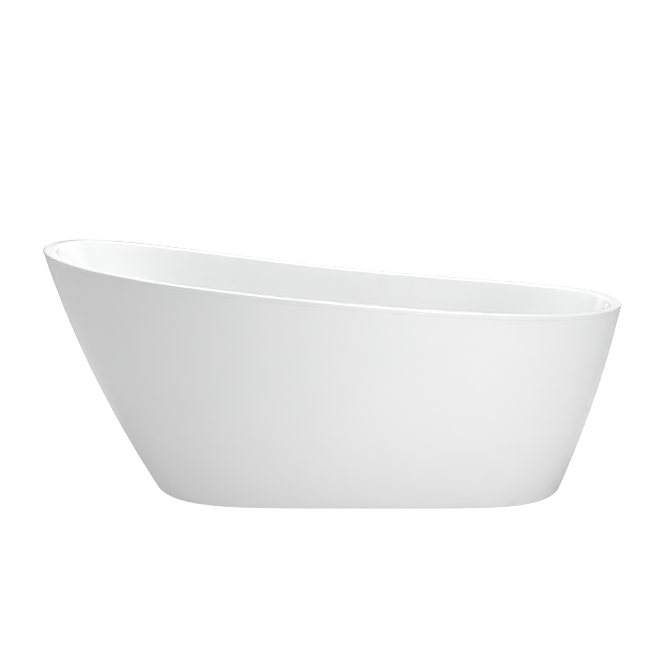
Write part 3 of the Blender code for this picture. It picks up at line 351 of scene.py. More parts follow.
class Nodes:
    """A material's Principled shader with short helpers to build what feeds it."""

    def __init__(self, name, colour, roughness, metallic=0.0, **sockets):
        self.material = bpy.data.materials.new(name)
        self.material.use_nodes = True
        self.tree = self.material.node_tree
        self.shader = self.tree.nodes["Principled BSDF"]
        self.shader.inputs["Base Color"].default_value = (*colour, 1.0)
        self.shader.inputs["Roughness"].default_value = roughness
        self.shader.inputs["Metallic"].default_value = metallic
        for key, value in sockets.items():
            self.shader.inputs[key.replace("_", " ")].default_value = value
        self.place = self.tree.nodes.new("ShaderNodeTexCoord").outputs["Object"]
        self.height = None

    def add(self, kind, **values):
        node = self.tree.nodes.new(kind)
        for key, value in values.items():
            setattr(node, key, value)
        return node

    def join(self, source, target):
        self.tree.links.new(source, target)

    def noise(self, scale, detail=3.0, stretch=None):
        node = self.add("ShaderNodeTexNoise")
        node.inputs["Scale"].default_value = scale
        node.inputs["Detail"].default_value = detail
        node.inputs["Roughness"].default_value = 0.55
        self.join(self.stretched(stretch), node.inputs["Vector"])
        return node.outputs["Fac"]

    def cells(self, scale, output="Distance", stretch=None):
        node = self.add("ShaderNodeTexVoronoi")
        node.inputs["Scale"].default_value = scale
        self.join(self.stretched(stretch), node.inputs["Vector"])
        return node.outputs[output]

    def stretched(self, stretch):
        if stretch is None:
            return self.place
        node = self.add("ShaderNodeMapping")
        node.inputs["Scale"].default_value = stretch
        self.join(self.place, node.inputs["Vector"])
        return node.outputs["Vector"]

    def spread(self, source, low, high, start, end):
        """Maps start..end of the source to low..high."""
        node = self.add("ShaderNodeMapRange")
        for key, value in (("From Min", start), ("From Max", end), ("To Min", low), ("To Max", high)):
            node.inputs[key].default_value = value
        self.join(source, node.inputs["Value"])
        return node.outputs["Result"]

    def rough(self, source, low, high, start=0.3, end=0.7):
        self.join(self.spread(source, low, high, start, end), self.shader.inputs["Roughness"])
        return self

    def tint(self, source, stops):
        ramp = self.add("ShaderNodeValToRGB")
        elements = ramp.color_ramp.elements
        while len(elements) < len(stops):
            elements.new(0.5)
        for element, (position, colour) in zip(elements, stops):
            element.position = position
            element.color = (*colour, 1.0)
        self.join(source, ramp.inputs["Fac"])
        self.join(ramp.outputs["Color"], self.shader.inputs["Base Color"])
        return self

    def bump(self, source, distance, strength):
        node = self.add("ShaderNodeBump")
        node.inputs["Strength"].default_value = strength
        node.inputs["Distance"].default_value = distance
        self.join(source, node.inputs["Height"])
        if self.height is not None:
            self.join(self.height, node.inputs["Normal"])
        self.height = node.outputs["Normal"]
        self.join(self.height, self.shader.inputs["Normal"])
        return self


def make_materials():
    made = {}

    acrylic = Nodes("acrylic_gloss", (0.9, 0.9, 0.9), 0.17, IOR=1.49)
    acrylic.tint(acrylic.noise(1.7, 2.0), ((0.3, (0.885, 0.888, 0.892)), (0.7, (0.905, 0.905, 0.905))))
    acrylic.rough(acrylic.noise(9.0, 5.0), 0.13, 0.21)
    acrylic.bump(acrylic.noise(6.0, 1.0), 0.0012, 0.25)
    acrylic.bump(acrylic.noise(420.0, 2.0), 0.00002, 0.35)
    made["acrylic"] = acrylic.material

    fibre = Nodes("glass_fibre_resin", (0.76, 0.74, 0.66), 0.42, IOR=1.5)
    strands = fibre.cells(70.0, stretch=(1.0, 0.22, 1.0))
    crossing = fibre.cells(64.0, stretch=(0.24, 1.0, 0.8))
    mixed = fibre.add("ShaderNodeMath", operation="MINIMUM")
    fibre.join(strands, mixed.inputs[0])
    fibre.join(crossing, mixed.inputs[1])
    weave = mixed.outputs["Value"]
    fibre.tint(weave, ((0.0, (0.83, 0.81, 0.74)), (0.45, (0.72, 0.69, 0.58)), (0.9, (0.62, 0.58, 0.46))))
    fibre.rough(fibre.noise(35.0), 0.28, 0.62)
    fibre.bump(weave, 0.0012, 0.6)
    fibre.bump(fibre.noise(18.0, 4.0), 0.003, 0.4)
    made["fibre"] = fibre.material

    chrome = Nodes("chrome_plate", (0.80, 0.81, 0.83), 0.06, 1.0)
    chrome.rough(chrome.noise(60.0, 6.0), 0.035, 0.12)
    chrome.bump(chrome.noise(900.0, 2.0, stretch=(1.0, 1.0, 0.05)), 0.00001, 0.3)
    made["chrome"] = chrome.material

    galvanised = Nodes("galvanised_steel_spangle", (0.6, 0.62, 0.64), 0.4, 0.9)
    spangle = galvanised.cells(150.0, "Color")
    grey = galvanised.add("ShaderNodeRGBToBW")
    galvanised.join(spangle, grey.inputs["Color"])
    galvanised.tint(grey.outputs["Val"], ((0.1, (0.47, 0.49, 0.51)), (0.9, (0.70, 0.71, 0.72))))
    galvanised.rough(grey.outputs["Val"], 0.28, 0.55, 0.1, 0.9)
    galvanised.bump(galvanised.noise(260.0, 4.0), 0.00008, 0.5)
    made["galvanised"] = galvanised.material

    zinc = Nodes("zinc_plate", (0.68, 0.68, 0.66), 0.3, 0.95)
    zinc.tint(zinc.noise(140.0, 5.0), ((0.35, (0.62, 0.63, 0.63)), (0.7, (0.76, 0.75, 0.70))))
    zinc.rough(zinc.noise(220.0, 5.0), 0.2, 0.42)
    zinc.bump(zinc.noise(1500.0, 2.0), 0.00002, 0.5)
    made["zinc"] = zinc.material

    rubber = Nodes("moulded_rubber", (0.03, 0.03, 0.032), 0.7)
    rubber.tint(rubber.noise(90.0, 5.0), ((0.3, (0.022, 0.022, 0.024)), (0.8, (0.05, 0.05, 0.05))))
    rubber.rough(rubber.noise(140.0, 5.0), 0.55, 0.82)
    rubber.bump(rubber.noise(2200.0, 2.0), 0.00005, 0.7)
    made["rubber"] = rubber.material

    pad = Nodes("moulded_pad_plastic", (0.06, 0.06, 0.065), 0.5)
    pad.tint(pad.noise(60.0, 5.0), ((0.3, (0.045, 0.045, 0.05)), (0.8, (0.085, 0.085, 0.09))))
    pad.rough(pad.noise(120.0, 5.0), 0.4, 0.6)
    pad.bump(pad.cells(1600.0), 0.00006, 0.6)
    made["pad"] = pad.material

    pipe = Nodes("moulded_pipe_plastic", (0.86, 0.86, 0.84), 0.38)
    pipe.tint(pipe.noise(30.0, 4.0), ((0.3, (0.83, 0.83, 0.81)), (0.75, (0.88, 0.88, 0.865))))
    pipe.rough(pipe.noise(110.0, 5.0), 0.3, 0.48)
    pipe.bump(pipe.noise(1300.0, 2.0), 0.00003, 0.5)
    made["pipe"] = pipe.material

    hose = Nodes("flexible_hose_plastic", (0.78, 0.78, 0.77), 0.45)
    hose.tint(hose.noise(45.0, 4.0), ((0.3, (0.74, 0.74, 0.73)), (0.75, (0.82, 0.82, 0.81))))
    hose.rough(hose.noise(160.0, 5.0), 0.38, 0.56)
    hose.bump(hose.noise(900.0, 3.0), 0.00004, 0.5)
    made["hose"] = hose.material

    board = Nodes("resin_coated_chipboard", (0.70, 0.60, 0.44), 0.6)
    chips = board.cells(170.0, "Color", stretch=(1.0, 0.45, 1.0))
    chip_grey = board.add("ShaderNodeRGBToBW")
    board.join(chips, chip_grey.inputs["Color"])
    chip_shade = chip_grey.outputs["Val"]
    board.tint(chip_shade, ((0.1, (0.52, 0.41, 0.27)), (0.5, (0.68, 0.56, 0.39)), (0.9, (0.80, 0.69, 0.50))))
    board.rough(board.noise(60.0), 0.42, 0.72)
    board.bump(chip_shade, 0.0004, 0.5)
    made["board"] = board.material

    adhesive = Nodes("cured_adhesive", (0.84, 0.83, 0.79), 0.5)
    adhesive.tint(adhesive.noise(50.0, 4.0), ((0.3, (0.80, 0.79, 0.74)), (0.75, (0.87, 0.86, 0.83))))
    adhesive.rough(adhesive.noise(80.0, 4.0), 0.4, 0.6)
    adhesive.bump(adhesive.noise(60.0, 3.0), 0.0012, 0.7)
    made["adhesive"] = adhesive.material

    brass = Nodes("machined_brass", (0.78, 0.62, 0.33), 0.28, 1.0)
    brass.tint(brass.noise(120.0, 4.0), ((0.3, (0.72, 0.56, 0.28)), (0.75, (0.83, 0.68, 0.38))))
    brass.rough(brass.noise(200.0, 4.0), 0.2, 0.38)
    brass.bump(brass.noise(700.0, 2.0, stretch=(0.1, 0.1, 3.0)), 0.00003, 0.5)
    made["brass"] = brass.material
    return made


M = make_materials()

# ---------------------------------------------------------------- shells

DRAIN = middle("drain_flange")


def basin_corners(i):
    """The basin's section at one place: lip, outer and inner rim corners and floor corner."""
    top = rim_height(RIM[i].x)
    corner = Vector((*FLOOR[i], BASIN_FLOOR_Z))
    return skin(i, top - LIP_HEIGHT), skin(i, top), skin(i, top, RIM_WIDTH), corner


def behind(i, point, slope):
    """The point moved a wall's thickness behind its face, which runs along slope: up outside, down inside."""
    around = Vector((RIM_INWARD[i].y, -RIM_INWARD[i].x, 0.0))
    return point + slope.cross(around).normalized() * WALL


def hidden_corners(i):
    """The same corners, a wall's thickness behind the faces that show."""
    lip, outer, inner, corner = basin_corners(i)
    rise, fall = (outer - lip).normalized(), (corner - inner).normalized()
    beneath = outer.z - WALL
    hidden_lip, back = behind(i, lip, rise), behind(i, inner, fall)
    hidden_outer = hidden_lip + rise * ((beneath - hidden_lip.z) / rise.z)
    levels = (beneath, BASIN_FLOOR_Z - WALL)
    return hidden_lip, hidden_outer, *(back + fall * ((z - back.z) / fall.z) for z in levels)


def wall_section(i, before, inner, corner):
    """From the rim's inner bend down the wall and the fillet to the edge of the drain hole."""
    level = Vector((*FLOOR_INWARD[i], 0.0))
    bend = rounded(before, inner, corner, RIM_INNER_RADIUS, RIM_INNER_RADIUS, 9)
    fillet = rounded(inner, corner, corner + level, FILLET_ON_WALL, FILLET_ON_FLOOR, 26)
    edge = fillet[-1]
    angle = math.atan2(edge.y, edge.x - DRAIN.x)
    out = Vector((math.cos(angle), math.sin(angle), 0.0))
    hole = Vector((DRAIN.x, 0.0, edge.z)) + out * DRAIN_HOLE_RADIUS
    return [*bend, *between(bend[-1], fillet[0], 14), *fillet, *between(edge, hole, 3), hole]


def basin_section(i):
    """Round the shell from the hole's edge beneath, out to the lip, over the rim and back to the hole."""
    lip, outer, inner, corner = basin_corners(i)
    hidden_lip, hidden_outer, hidden_inner, hidden_corner = hidden_corners(i)
    under = wall_section(i, hidden_outer, hidden_inner, hidden_corner)[::-1]
    edge = rounded(hidden_lip, lip, outer, 0.0006, 0.0006, 2)
    bend = rounded(lip, outer, inner, RIM_OUTER_RADIUS, RIM_OUTER_RADIUS, 8)
    wall = wall_section(i, outer, inner, corner)
    return [
        *under, hidden_outer, hidden_lip, *edge, *between(edge[-1], bend[0], 2), *bend,
        *between(bend[-1], wall[0], 4), *wall,
    ]


def skirt_section(i):
    bottom, flange = skin(i, FLOOR_GAP), skin(i, FLOOR_GAP, FLANGE_WIDTH)
    top = rim_height(RIM[i].x) - LIP_HEIGHT - GAP
    edge = rounded(flange, bottom, skin(i, 0.04), BASE_EDGE_RADIUS, BASE_EDGE_RADIUS, 8)
    low = edge[-1].z
    return [flange, *edge, *[skin(i, low + (top - low) * k / 44) for k in range(1, 45)]]


def rings_of(section):
    sections = [section(i) for i in range(AROUND)]
    return [[s[j] for s in sections] for j in range(len(sections[0]))]


def overflow_matrix():
    """The overflow's place: its +Z points out of the foot wall into the basin and its +X up the wall."""
    inner, corner = basin_corners(0)[2:]
    up = (inner - corner).normalized()
    place = corner + up * (FOOT_HEIGHT - OVERFLOW_DROP - corner.z) / up.z
    turn = Matrix.Rotation(math.atan2(-up.z, up.x), 4, "Y")
    return Matrix.Translation(place - turn.to_3x3() @ Vector((0, 0, OVERFLOW_SEAT))) @ turn


OVERFLOW = overflow_matrix()


def make_shells():
    rings = rings_of(basin_section)
    basin = new_object("basin_shell", mesh_of("basin_shell", *grid(rings, closed_section=True)))
    basin.data.materials.append(M["acrylic"])
    basin.data.materials.append(M["fibre"])
    hidden = (len(wall_section(0, *basin_corners(0)[1:])) + 1) * AROUND
    for face in basin.data.polygons:
        face.material_index = int(face.index < hidden)
    cut(basin, cylinder(OVERFLOW_FLANGE_RADIUS + 4 * GAP, 0.0, 4 * WALL, OVERFLOW, ROUND))
    cut(basin, cylinder(OVERFLOW_HOLE_RADIUS, -4 * WALL, 2 * WALL, OVERFLOW, ROUND))
    finish_piece(basin, "tub", ["inner_basin"], [M["acrylic"], M["fibre"]])
    skirt = new_object("skirt_shell", mesh_of("skirt_shell", *grid(rings_of(skirt_section))))
    skirt.data.materials.append(M["acrylic"])
    skirt.data.materials.append(M["fibre"])
    solid = skirt.modifiers.new("wall", "SOLIDIFY")
    solid.thickness = WALL
    solid.offset = -1.0
    solid.use_even_offset = True
    solid.use_quality_normals = True
    solid.material_offset = 1
    applied(skirt)
    for place in ("head_left", "head_right", "foot_left", "foot_right"):
        centre = middle(f"flange_bolt_{place}")
        cut(skirt, cylinder(BOLT_HOLE, -2 * WALL, 4 * WALL, at(centre.x, centre.y, 0), 24))
    finish_piece(skirt, "tub", ["outer_skirt"], [M["acrylic"], M["fibre"]])


def seam_section(i):
    """The bonded seam under the rim, level with the skin on both sides of it."""
    top = rim_height(RIM[i].x) - LIP_HEIGHT
    low, high = top - GAP + 0.00003, top - 0.00003
    return [skin(i, low, 0.0001), skin(i, high, 0.0001), skin(i, high, 0.0022), skin(i, low, 0.0022)]


def bead_section(i):
    top = rim_height(RIM[i].x) - WALL - 2 * GAP
    near, low = WALL + BEAD_CLEARANCE, top - BEAD_HEIGHT
    far = near + BEAD_WIDTH
    return [skin(i, low, near), skin(i, top, near), skin(i, top, far), skin(i, low, far)]


def make_ring(name, section, nodes, material):
    made = new_object(name, mesh_of(name, *grid(rings_of(section), closed_section=True)))
    smooth(made.data)
    finish_piece(made, "tub", nodes, [M[material]])


make_shells()
make_ring("rim_seam", seam_section, [], "acrylic")
make_ring("bead_fine", bead_section, ["rim_adhesive_bead"], "adhesive")

# ---------------------------------------------------------------- fittings

DRAIN_AT = at(DRAIN.x, DRAIN.y, BASIN_FLOOR_Z)
ALONG_X = Matrix.Rotation(math.pi / 2, 4, "Y")
TURNED_OVER = Matrix.Rotation(-math.pi / 2, 4, "Y")


def fit(node, obj, material, body="tub"):
    """The finer piece that stands for a CAD node."""
    obj.name = node + "_fine"
    return finish_piece(obj, body, [node], [M[material]])


def threaded(radius, pitch, bottom, top, segments=36):
    """(vertices, faces) of a screw thread with tapered ends."""
    rows = round((top - bottom) / pitch * 8)
    depth = pitch * 0.55
    rings = []
    for j in range(rows + 1):
        z = bottom + (top - bottom) * j / rows
        lead = min(1.0, min(z - bottom, top - z) / pitch)
        row = []
        for i in range(segments):
            share = (z / pitch - i / segments) % 1.0
            crest = min(1.0, max(0.0, abs(2 * share - 1) * 1.35 - 0.2)) * lead
            here = radius - depth * (1 - crest)
            angle = 2 * math.pi * i / segments
            row.append(Vector((here * math.cos(angle), here * math.sin(angle), z)))
        rings.append(row)
    return grid(rings, caps=True)


def hexagon(radius, bottom, top, chamfer_bottom=True):
    """A hexagon prism whose corners are cut by a cone at its top, and at its bottom if asked."""
    made = new_object("hexagon", mesh_of("hexagon", *lathe(
        [(0, top), (radius, top), (radius, bottom), (0, bottom)], 6)))
    across, drop, outside = radius * 0.88, radius * 0.07, radius * 1.01
    profile = [(0, top), (across, top), (outside, top - drop)]
    profile += [(outside, bottom + drop), (across, bottom)] if chamfer_bottom else [(outside, bottom)]
    profile += [(0, bottom)]
    cut(made, new_object("tool", mesh_of("tool", *lathe(profile, 72))), "INTERSECT")
    return made


def copied(obj, matrix):
    return new_object(obj.name, obj.data.copy(), matrix)


def spigot_on(obj, matrix, outer, bore):
    """A branch with two barbs, joined to a turned body of these radii and bored through its wall."""
    neck, barb = SPIGOT_RADIUS * 0.94, 0.0055
    profile = [(0, SPIGOT_REACH), (SPIGOT_RADIUS * 0.93, SPIGOT_REACH), (SPIGOT_RADIUS, SPIGOT_REACH - 0.002)]
    for k in (1, 2):
        z = SPIGOT_REACH - barb * k
        profile += [(SPIGOT_RADIUS, z), (neck, z - 0.0005), (SPIGOT_RADIUS, z - 0.0035)]
    start = (outer + bore) / 2
    profile += [(SPIGOT_RADIUS, start), (0, start)]
    cut(obj, turned("tool", profile, matrix, 0.0002), "UNION")
    cut(obj, cylinder(SPIGOT_BORE, bore / 2, SPIGOT_REACH * 1.1, matrix))


def bridge_on(obj, matrix, bore, hub, bottom, hole):
    """A cross of two bars with a drilled hub, joined into a flange's barrel."""
    span = 2 * bore + BRIDGE_WIDTH / 4
    for size in ((span, BRIDGE_WIDTH, BRIDGE_HEIGHT), (BRIDGE_WIDTH, span, BRIDGE_HEIGHT)):
        cut(obj, box(size, (0, 0, bottom + BRIDGE_HEIGHT / 2), matrix), "UNION")
    cut(obj, cylinder(hub, bottom, bottom + BRIDGE_HEIGHT, matrix), "UNION")
    cut(obj, cylinder(hole, bottom - BRIDGE_HEIGHT, bottom + 2 * BRIDGE_HEIGHT, matrix))


def make_drain():
    flange = turned("flange", [
        (BARREL_BORE, -0.0019), (0.0230, 0.0001), (FUNNEL_RADIUS, 0.0020), (0.02704, FLANGE_THICKNESS),
        (0.03456, FLANGE_THICKNESS), (FLANGE_RADIUS, FLANGE_THICKNESS / 2), (FLANGE_RADIUS, GAP),
        (BARREL_RADIUS, GAP), (BARREL_RADIUS, BARREL_BOTTOM), (BARREL_BORE, BARREL_BOTTOM),
    ], DRAIN_AT, 0.0008, ROUND, True)
    bridge_on(flange, DRAIN_AT, BARREL_BORE, HUB_RADIUS, BARREL_BOTTOM, CARTRIDGE_RADIUS + GAP)
    fit("drain_flange", flange, "chrome")
    seal = ring(DRAIN_HOLE_RADIUS, WASTE_FLANGE_RADIUS, BEHIND_SEAL + GAP, -WALL - GAP)
    fit("drain_seal", turned("seal", seal, DRAIN_AT, 0.0007, ROUND, True), "rubber")
    shoulder, thread_end = BEHIND_SEAL - WASTE_FLANGE_HEIGHT, WASTE_BOTTOM + 0.001
    waste = turned("waste", [
        (THREAD_BORE, BEHIND_SEAL), (WASTE_FLANGE_RADIUS, BEHIND_SEAL), (WASTE_FLANGE_RADIUS, shoulder),
        (WASTE_RADIUS, shoulder), (WASTE_RADIUS, -0.0640), (0.0262, -0.0650), (0.0262, thread_end),
        (0.0255, WASTE_BOTTOM), (WASTE_BORE, WASTE_BOTTOM), (WASTE_BORE, THREAD_BOTTOM),
        (THREAD_BORE, THREAD_BOTTOM),
    ], DRAIN_AT, 0.0006, ROUND, True)
    spigot_on(waste, DRAIN_AT @ at(0, 0, INLET_HEIGHT, ALONG_X), WASTE_RADIUS, WASTE_BORE)
    fit("waste_body", waste, "pipe")
    outlet = OUTLET_Z - BASIN_FLOOR_Z
    tail = ring(TAILPIECE_BORE, TAILPIECE_RADIUS, outlet, WASTE_BOTTOM + TAILPIECE_INSERT)
    fit("outlet_tailpiece", turned("tail", tail, DRAIN_AT, 0.0004, ROUND, True), "pipe")
    round_tail, top = TAILPIECE_RADIUS + GAP, WASTE_BOTTOM - GAP
    washer = ring(round_tail, WASTE_RADIUS - GAP, top - SLIP_WASHER_HEIGHT, top)
    fit("slip_washer", turned("washer", washer, DRAIN_AT, 0.0008, ROUND, True), "rubber")
    make_slip_nut(round_tail, top - SLIP_WASHER_HEIGHT - GAP)


def make_slip_nut(bore, seat):
    """The nut round the tailpiece, with finger ribs round its outside."""
    thread, high, low = WASTE_RADIUS + RUNNING_GAP, seat + SLIP_NUT_HEIGHT * 0.8, seat - SLIP_NUT_HEIGHT * 0.2
    nut = turned("nut", [
        (thread, high), (SLIP_NUT_RADIUS, high), (SLIP_NUT_RADIUS, low), (bore, low), (bore, seat),
        (thread, seat),
    ], DRAIN_AT, 0.0010, ROUND, True)
    groove = 0.0012
    for vertex in nut.data.vertices:
        radius = math.hypot(vertex.co.x, vertex.co.y)
        step = round(math.atan2(vertex.co.y, vertex.co.x) / math.pi * ROUND / 2)
        if radius > WASTE_RADIUS * 1.1 and step % 4 in (1, 2):
            vertex.co.x *= 1 - groove / radius
            vertex.co.y *= 1 - groove / radius
    fit("slip_nut", nut, "pipe")


def make_stopper():
    dome = (
        (0, 0.0055), (0.00775, 0.00535), (0.01395, 0.00512), (0.0200, 0.00460), (0.0248, 0.00374),
        (0.0285, 0.0028),
        (0.03007, 0.0022), (CAP_RADIUS, 0.00132),
    )
    profile = [(radius, CAP_UNDERSIDE + rise) for radius, rise in dome]
    profile += [(CAP_RADIUS, CAP_UNDERSIDE), (CAP_BOSS_RADIUS, CAP_UNDERSIDE), (CAP_BOSS_RADIUS, CAP_BOSS)]
    cap = turned("cap", [*profile, (0, CAP_BOSS)], DRAIN_AT, 0.0006, ROUND)
    fit("stopper_cap", cap, "chrome", "stopper")
    bore, high, low = CAP_BOSS_RADIUS + GAP, CAP_UNDERSIDE - GAP, CAP_BOSS + GAP
    seal = turned("seal", [
        (bore, high), (0.0222, high), (CAP_SEAL_RADIUS, 0.0118), (0.0228, low), (bore, low),
    ], DRAIN_AT, 0.0004, ROUND, True)
    fit("stopper_seal", seal, "rubber", "stopper")
    waist, top, bottom = 0.0041, CAP_BOSS - GAP, SPRING_BOTTOM + SPRING_HEIGHT + GAP
    stem = turned("stem", [
        (0, top), (STEM_RADIUS, top), (STEM_RADIUS, 0.0010), (waist, 0.0004), (waist, -0.0012),
        (STEM_RADIUS, -0.0018),
        (STEM_RADIUS, bottom), (0, bottom),
    ], DRAIN_AT, 0.0003, 64)
    fit("stopper_stem", stem, "brass", "stopper")
    collar_top, groove = CARTRIDGE_COLLAR + 0.003, 0.0062
    neck = collar_top + 0.006
    cartridge = turned("cartridge", [
        (0, CARTRIDGE_SEAT), (CARTRIDGE_BORE, CARTRIDGE_SEAT), (CARTRIDGE_BORE, neck),
        (CARTRIDGE_RADIUS, neck),
        (CARTRIDGE_RADIUS, collar_top), (CARTRIDGE_COLLAR_RADIUS, collar_top),
        (CARTRIDGE_COLLAR_RADIUS, CARTRIDGE_COLLAR), (CARTRIDGE_RADIUS, CARTRIDGE_COLLAR),
        (CARTRIDGE_RADIUS, BARREL_BOTTOM), (groove, BARREL_BOTTOM - 0.0005), (groove, BARREL_BOTTOM - 0.0015),
        (CARTRIDGE_RADIUS, BARREL_BOTTOM - 0.0020), (CARTRIDGE_RADIUS, CARTRIDGE_BOTTOM),
        (0, CARTRIDGE_BOTTOM),
    ], DRAIN_AT, 0.0003, 64)
    fit("stopper_cartridge", cartridge, "brass")


def make_spring():
    """The cartridge's spring, made at its open length only; nothing here shortens it by the closing stopper's
    travel.
    """
    wire, steps, round_wire = SPRING_WIRE_RADIUS, 180, 12
    coil = CARTRIDGE_BORE - 2 * GAP - wire
    climb = SPRING_HEIGHT - 2 * wire
    rings = []
    for k in range(steps + 1):
        angle = 2 * math.pi * SPRING_TURNS * k / steps
        out = Vector((math.cos(angle), math.sin(angle), 0))
        rise = climb / (2 * math.pi * SPRING_TURNS)
        along = Vector((-coil * math.sin(angle), coil * math.cos(angle), rise)).normalized()
        side = along.cross(out)
        centre = out * coil + Vector((0, 0, SPRING_BOTTOM + wire + climb * k / steps))
        around = [2 * math.pi * i / round_wire for i in range(round_wire)]
        rings.append([centre + (out * math.cos(a) + side * math.sin(a)) * wire * 0.98 for a in around])
    spring = new_object("spring", mesh_of("spring", *grid(rings, caps=True)), DRAIN_AT)
    smooth(spring.data, 50)
    fit("stopper_spring", spring, "zinc")
    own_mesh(spring)


def make_overflow():
    bottom, thick = OVERFLOW_BARREL_BOTTOM, OVERFLOW_FLANGE_THICKNESS
    flange = turned("flange", [
        (OVERFLOW_BORE, thick), (0.0285, thick), (OVERFLOW_FLANGE_RADIUS, thick / 2),
        (OVERFLOW_FLANGE_RADIUS, GAP),
        (OVERFLOW_BARREL_RADIUS, GAP), (OVERFLOW_BARREL_RADIUS, bottom), (OVERFLOW_BORE, bottom),
    ], OVERFLOW, 0.0006, ROUND, True)
    bridge_on(flange, OVERFLOW, OVERFLOW_BORE, 2 * OVERFLOW_STEM_RADIUS, bottom, OVERFLOW_STEM_RADIUS + GAP)
    fit("overflow_flange", flange, "chrome")
    dome = (
        (0, 0.0045), (0.0100, 0.00437), (0.0187, 0.00414), (0.0263, 0.0037), (0.0323, 0.0030),
        (OVERFLOW_CAP_RADIUS, 0.0018), (OVERFLOW_CAP_RADIUS, 0), (0.0320, 0), (0.0300, 0.0008),
        (0.0060, 0.0008),
        (OVERFLOW_STEM_RADIUS, 0),
    )
    profile = [(radius, OVERFLOW_CAP_STANDOFF + rise) for radius, rise in dome]
    cap = turned("cap", [*profile, (OVERFLOW_STEM_RADIUS, bottom), (0, bottom)], OVERFLOW, 0.0006, ROUND)
    fit("overflow_cap", cap, "chrome")
    seal = ring(OVERFLOW_HOLE_RADIUS, ELBOW_FLANGE_RADIUS, BEHIND_SEAL + GAP, -WALL - GAP)
    fit("overflow_seal", turned("seal", seal, OVERFLOW, 0.0007, ROUND, True), "rubber")
    floor, shoulder = ELBOW_BOTTOM + ELBOW_WALL, BEHIND_SEAL - ELBOW_WALL
    elbow = turned("elbow", [
        (0, floor), (ELBOW_BORE, floor), (ELBOW_BORE, BEHIND_SEAL), (ELBOW_FLANGE_RADIUS, BEHIND_SEAL),
        (ELBOW_FLANGE_RADIUS, shoulder), (ELBOW_RADIUS, shoulder), (ELBOW_RADIUS, ELBOW_BOTTOM),
        (0, ELBOW_BOTTOM),
    ], OVERFLOW, 0.0008, ROUND)
    spigot_on(elbow, OVERFLOW @ at(0, 0, ELBOW_SPIGOT, TURNED_OVER), ELBOW_RADIUS, ELBOW_BORE)
    fit("overflow_elbow", elbow, "pipe")


def hose_path():
    """The hose's middle line, with a straight cuff over each spigot, and the clamps' places on it."""
    down = -(OVERFLOW.to_3x3() @ Vector((1, 0, 0)))
    toward = Vector((1, 0, 0))
    over = SPIGOT_REACH - HOSE_OVERLAP
    start = OVERFLOW @ Vector((0, 0, ELBOW_SPIGOT)) + down * over
    end = Vector((DRAIN.x + over, 0, BASIN_FLOOR_Z + INLET_HEIGHT))
    a, b = start + down * HOSE_OVERLAP, end + toward * HOSE_OVERLAP
    handle_a = a + down * HOSE_HANDLES[0] * (a.z - b.z)
    handle_b = b + toward * HOSE_HANDLES[1] * (a.x - b.x)
    cuff, steps = 12, 700
    path = [start.lerp(a, k / cuff) for k in range(cuff)]
    for k in range(steps + 1):
        t = k / steps
        weights = ((1 - t) ** 3, 3 * t * (1 - t) ** 2, 3 * t * t * (1 - t), t**3)
        path.append(sum((c * w for c, w in zip((a, handle_a, handle_b, b), weights)), Vector()))
    path += [b.lerp(end, k / cuff) for k in range(1, cuff + 1)]
    half = HOSE_OVERLAP / 2
    return path, {"upper": (start + down * half, down), "lower": (end + toward * half, toward)}


def make_hose():
    """The corrugated hose, smooth at its two cuffs, and a clamp round each cuff."""
    path, clamps = hose_path()
    rib_depth, rib_pitch, smooth_end, sides = 0.0014, 0.0048, HOSE_OVERLAP + 0.004, 40
    sideways = Vector((0, 1, 0))
    lengths = [0.0]
    for before, point in zip(path, path[1:]):
        lengths.append(lengths[-1] + (point - before).length)
    outer, inner = [], []
    for k, point in enumerate(path):
        along = (path[min(k + 1, len(path) - 1)] - path[max(k - 1, 0)]).normalized()
        across = along.cross(sideways).normalized()
        past_cuff = min(lengths[k], lengths[-1] - lengths[k]) - smooth_end
        wave = 0.0 if past_cuff < 0 else 0.5 - 0.5 * math.cos(2 * math.pi * past_cuff / rib_pitch)
        angles = [2 * math.pi * i / sides for i in range(sides)]
        for rows, radius in ((outer, HOSE_RADIUS - 0.0001 - rib_depth * wave), (inner, HOSE_BORE)):
            rows.append([point + (across * math.cos(a) + sideways * math.sin(a)) * radius for a in angles])
    hose = new_object("hose", mesh_of("hose", *grid(outer + inner[::-1], closed_section=True)))
    smooth(hose.data, 50)
    fit("overflow_hose", hose, "hose")
    for name, (place, along) in clamps.items():
        turn = Matrix.Rotation(math.atan2(along.x, along.z), 4, "Y")
        make_clamp(f"hose_clamp_{name}", Matrix.Translation(place) @ turn)


def make_clamp(node, where):
    """A worm-drive clamp: a notched band with its screw in a housing."""
    low, high = HOSE_RADIUS + GAP, HOSE_RADIUS + GAP + CLAMP_BAND
    band = ring(low, high, -CLAMP_WIDTH / 2, CLAMP_WIDTH / 2)
    clamp = turned("clamp", band, where, 0.0003, ROUND, True)
    cut(clamp, box((0.0100, 0.0056, 0.0088), (0, high + 0.0023, 0), where), "UNION")
    screw = where @ at(-0.0062, high + 0.0026, 0, ALONG_X)
    cut(clamp, cylinder(0.0026, 0.0, 0.0124, screw, 24), "UNION")
    cut(clamp, box((0.0010, 0.0040, 0.0016), (0, 0, 0), screw))
    for k in range(15):
        turn = Matrix.Rotation(math.radians(135 + k * 20), 4, "Z")
        cut(clamp, box((0.0008, 0.0007, 0.0050), (0, 0, 0), where @ turn @ at(high, 0, 0)))
    fit(node, clamp, "zinc")


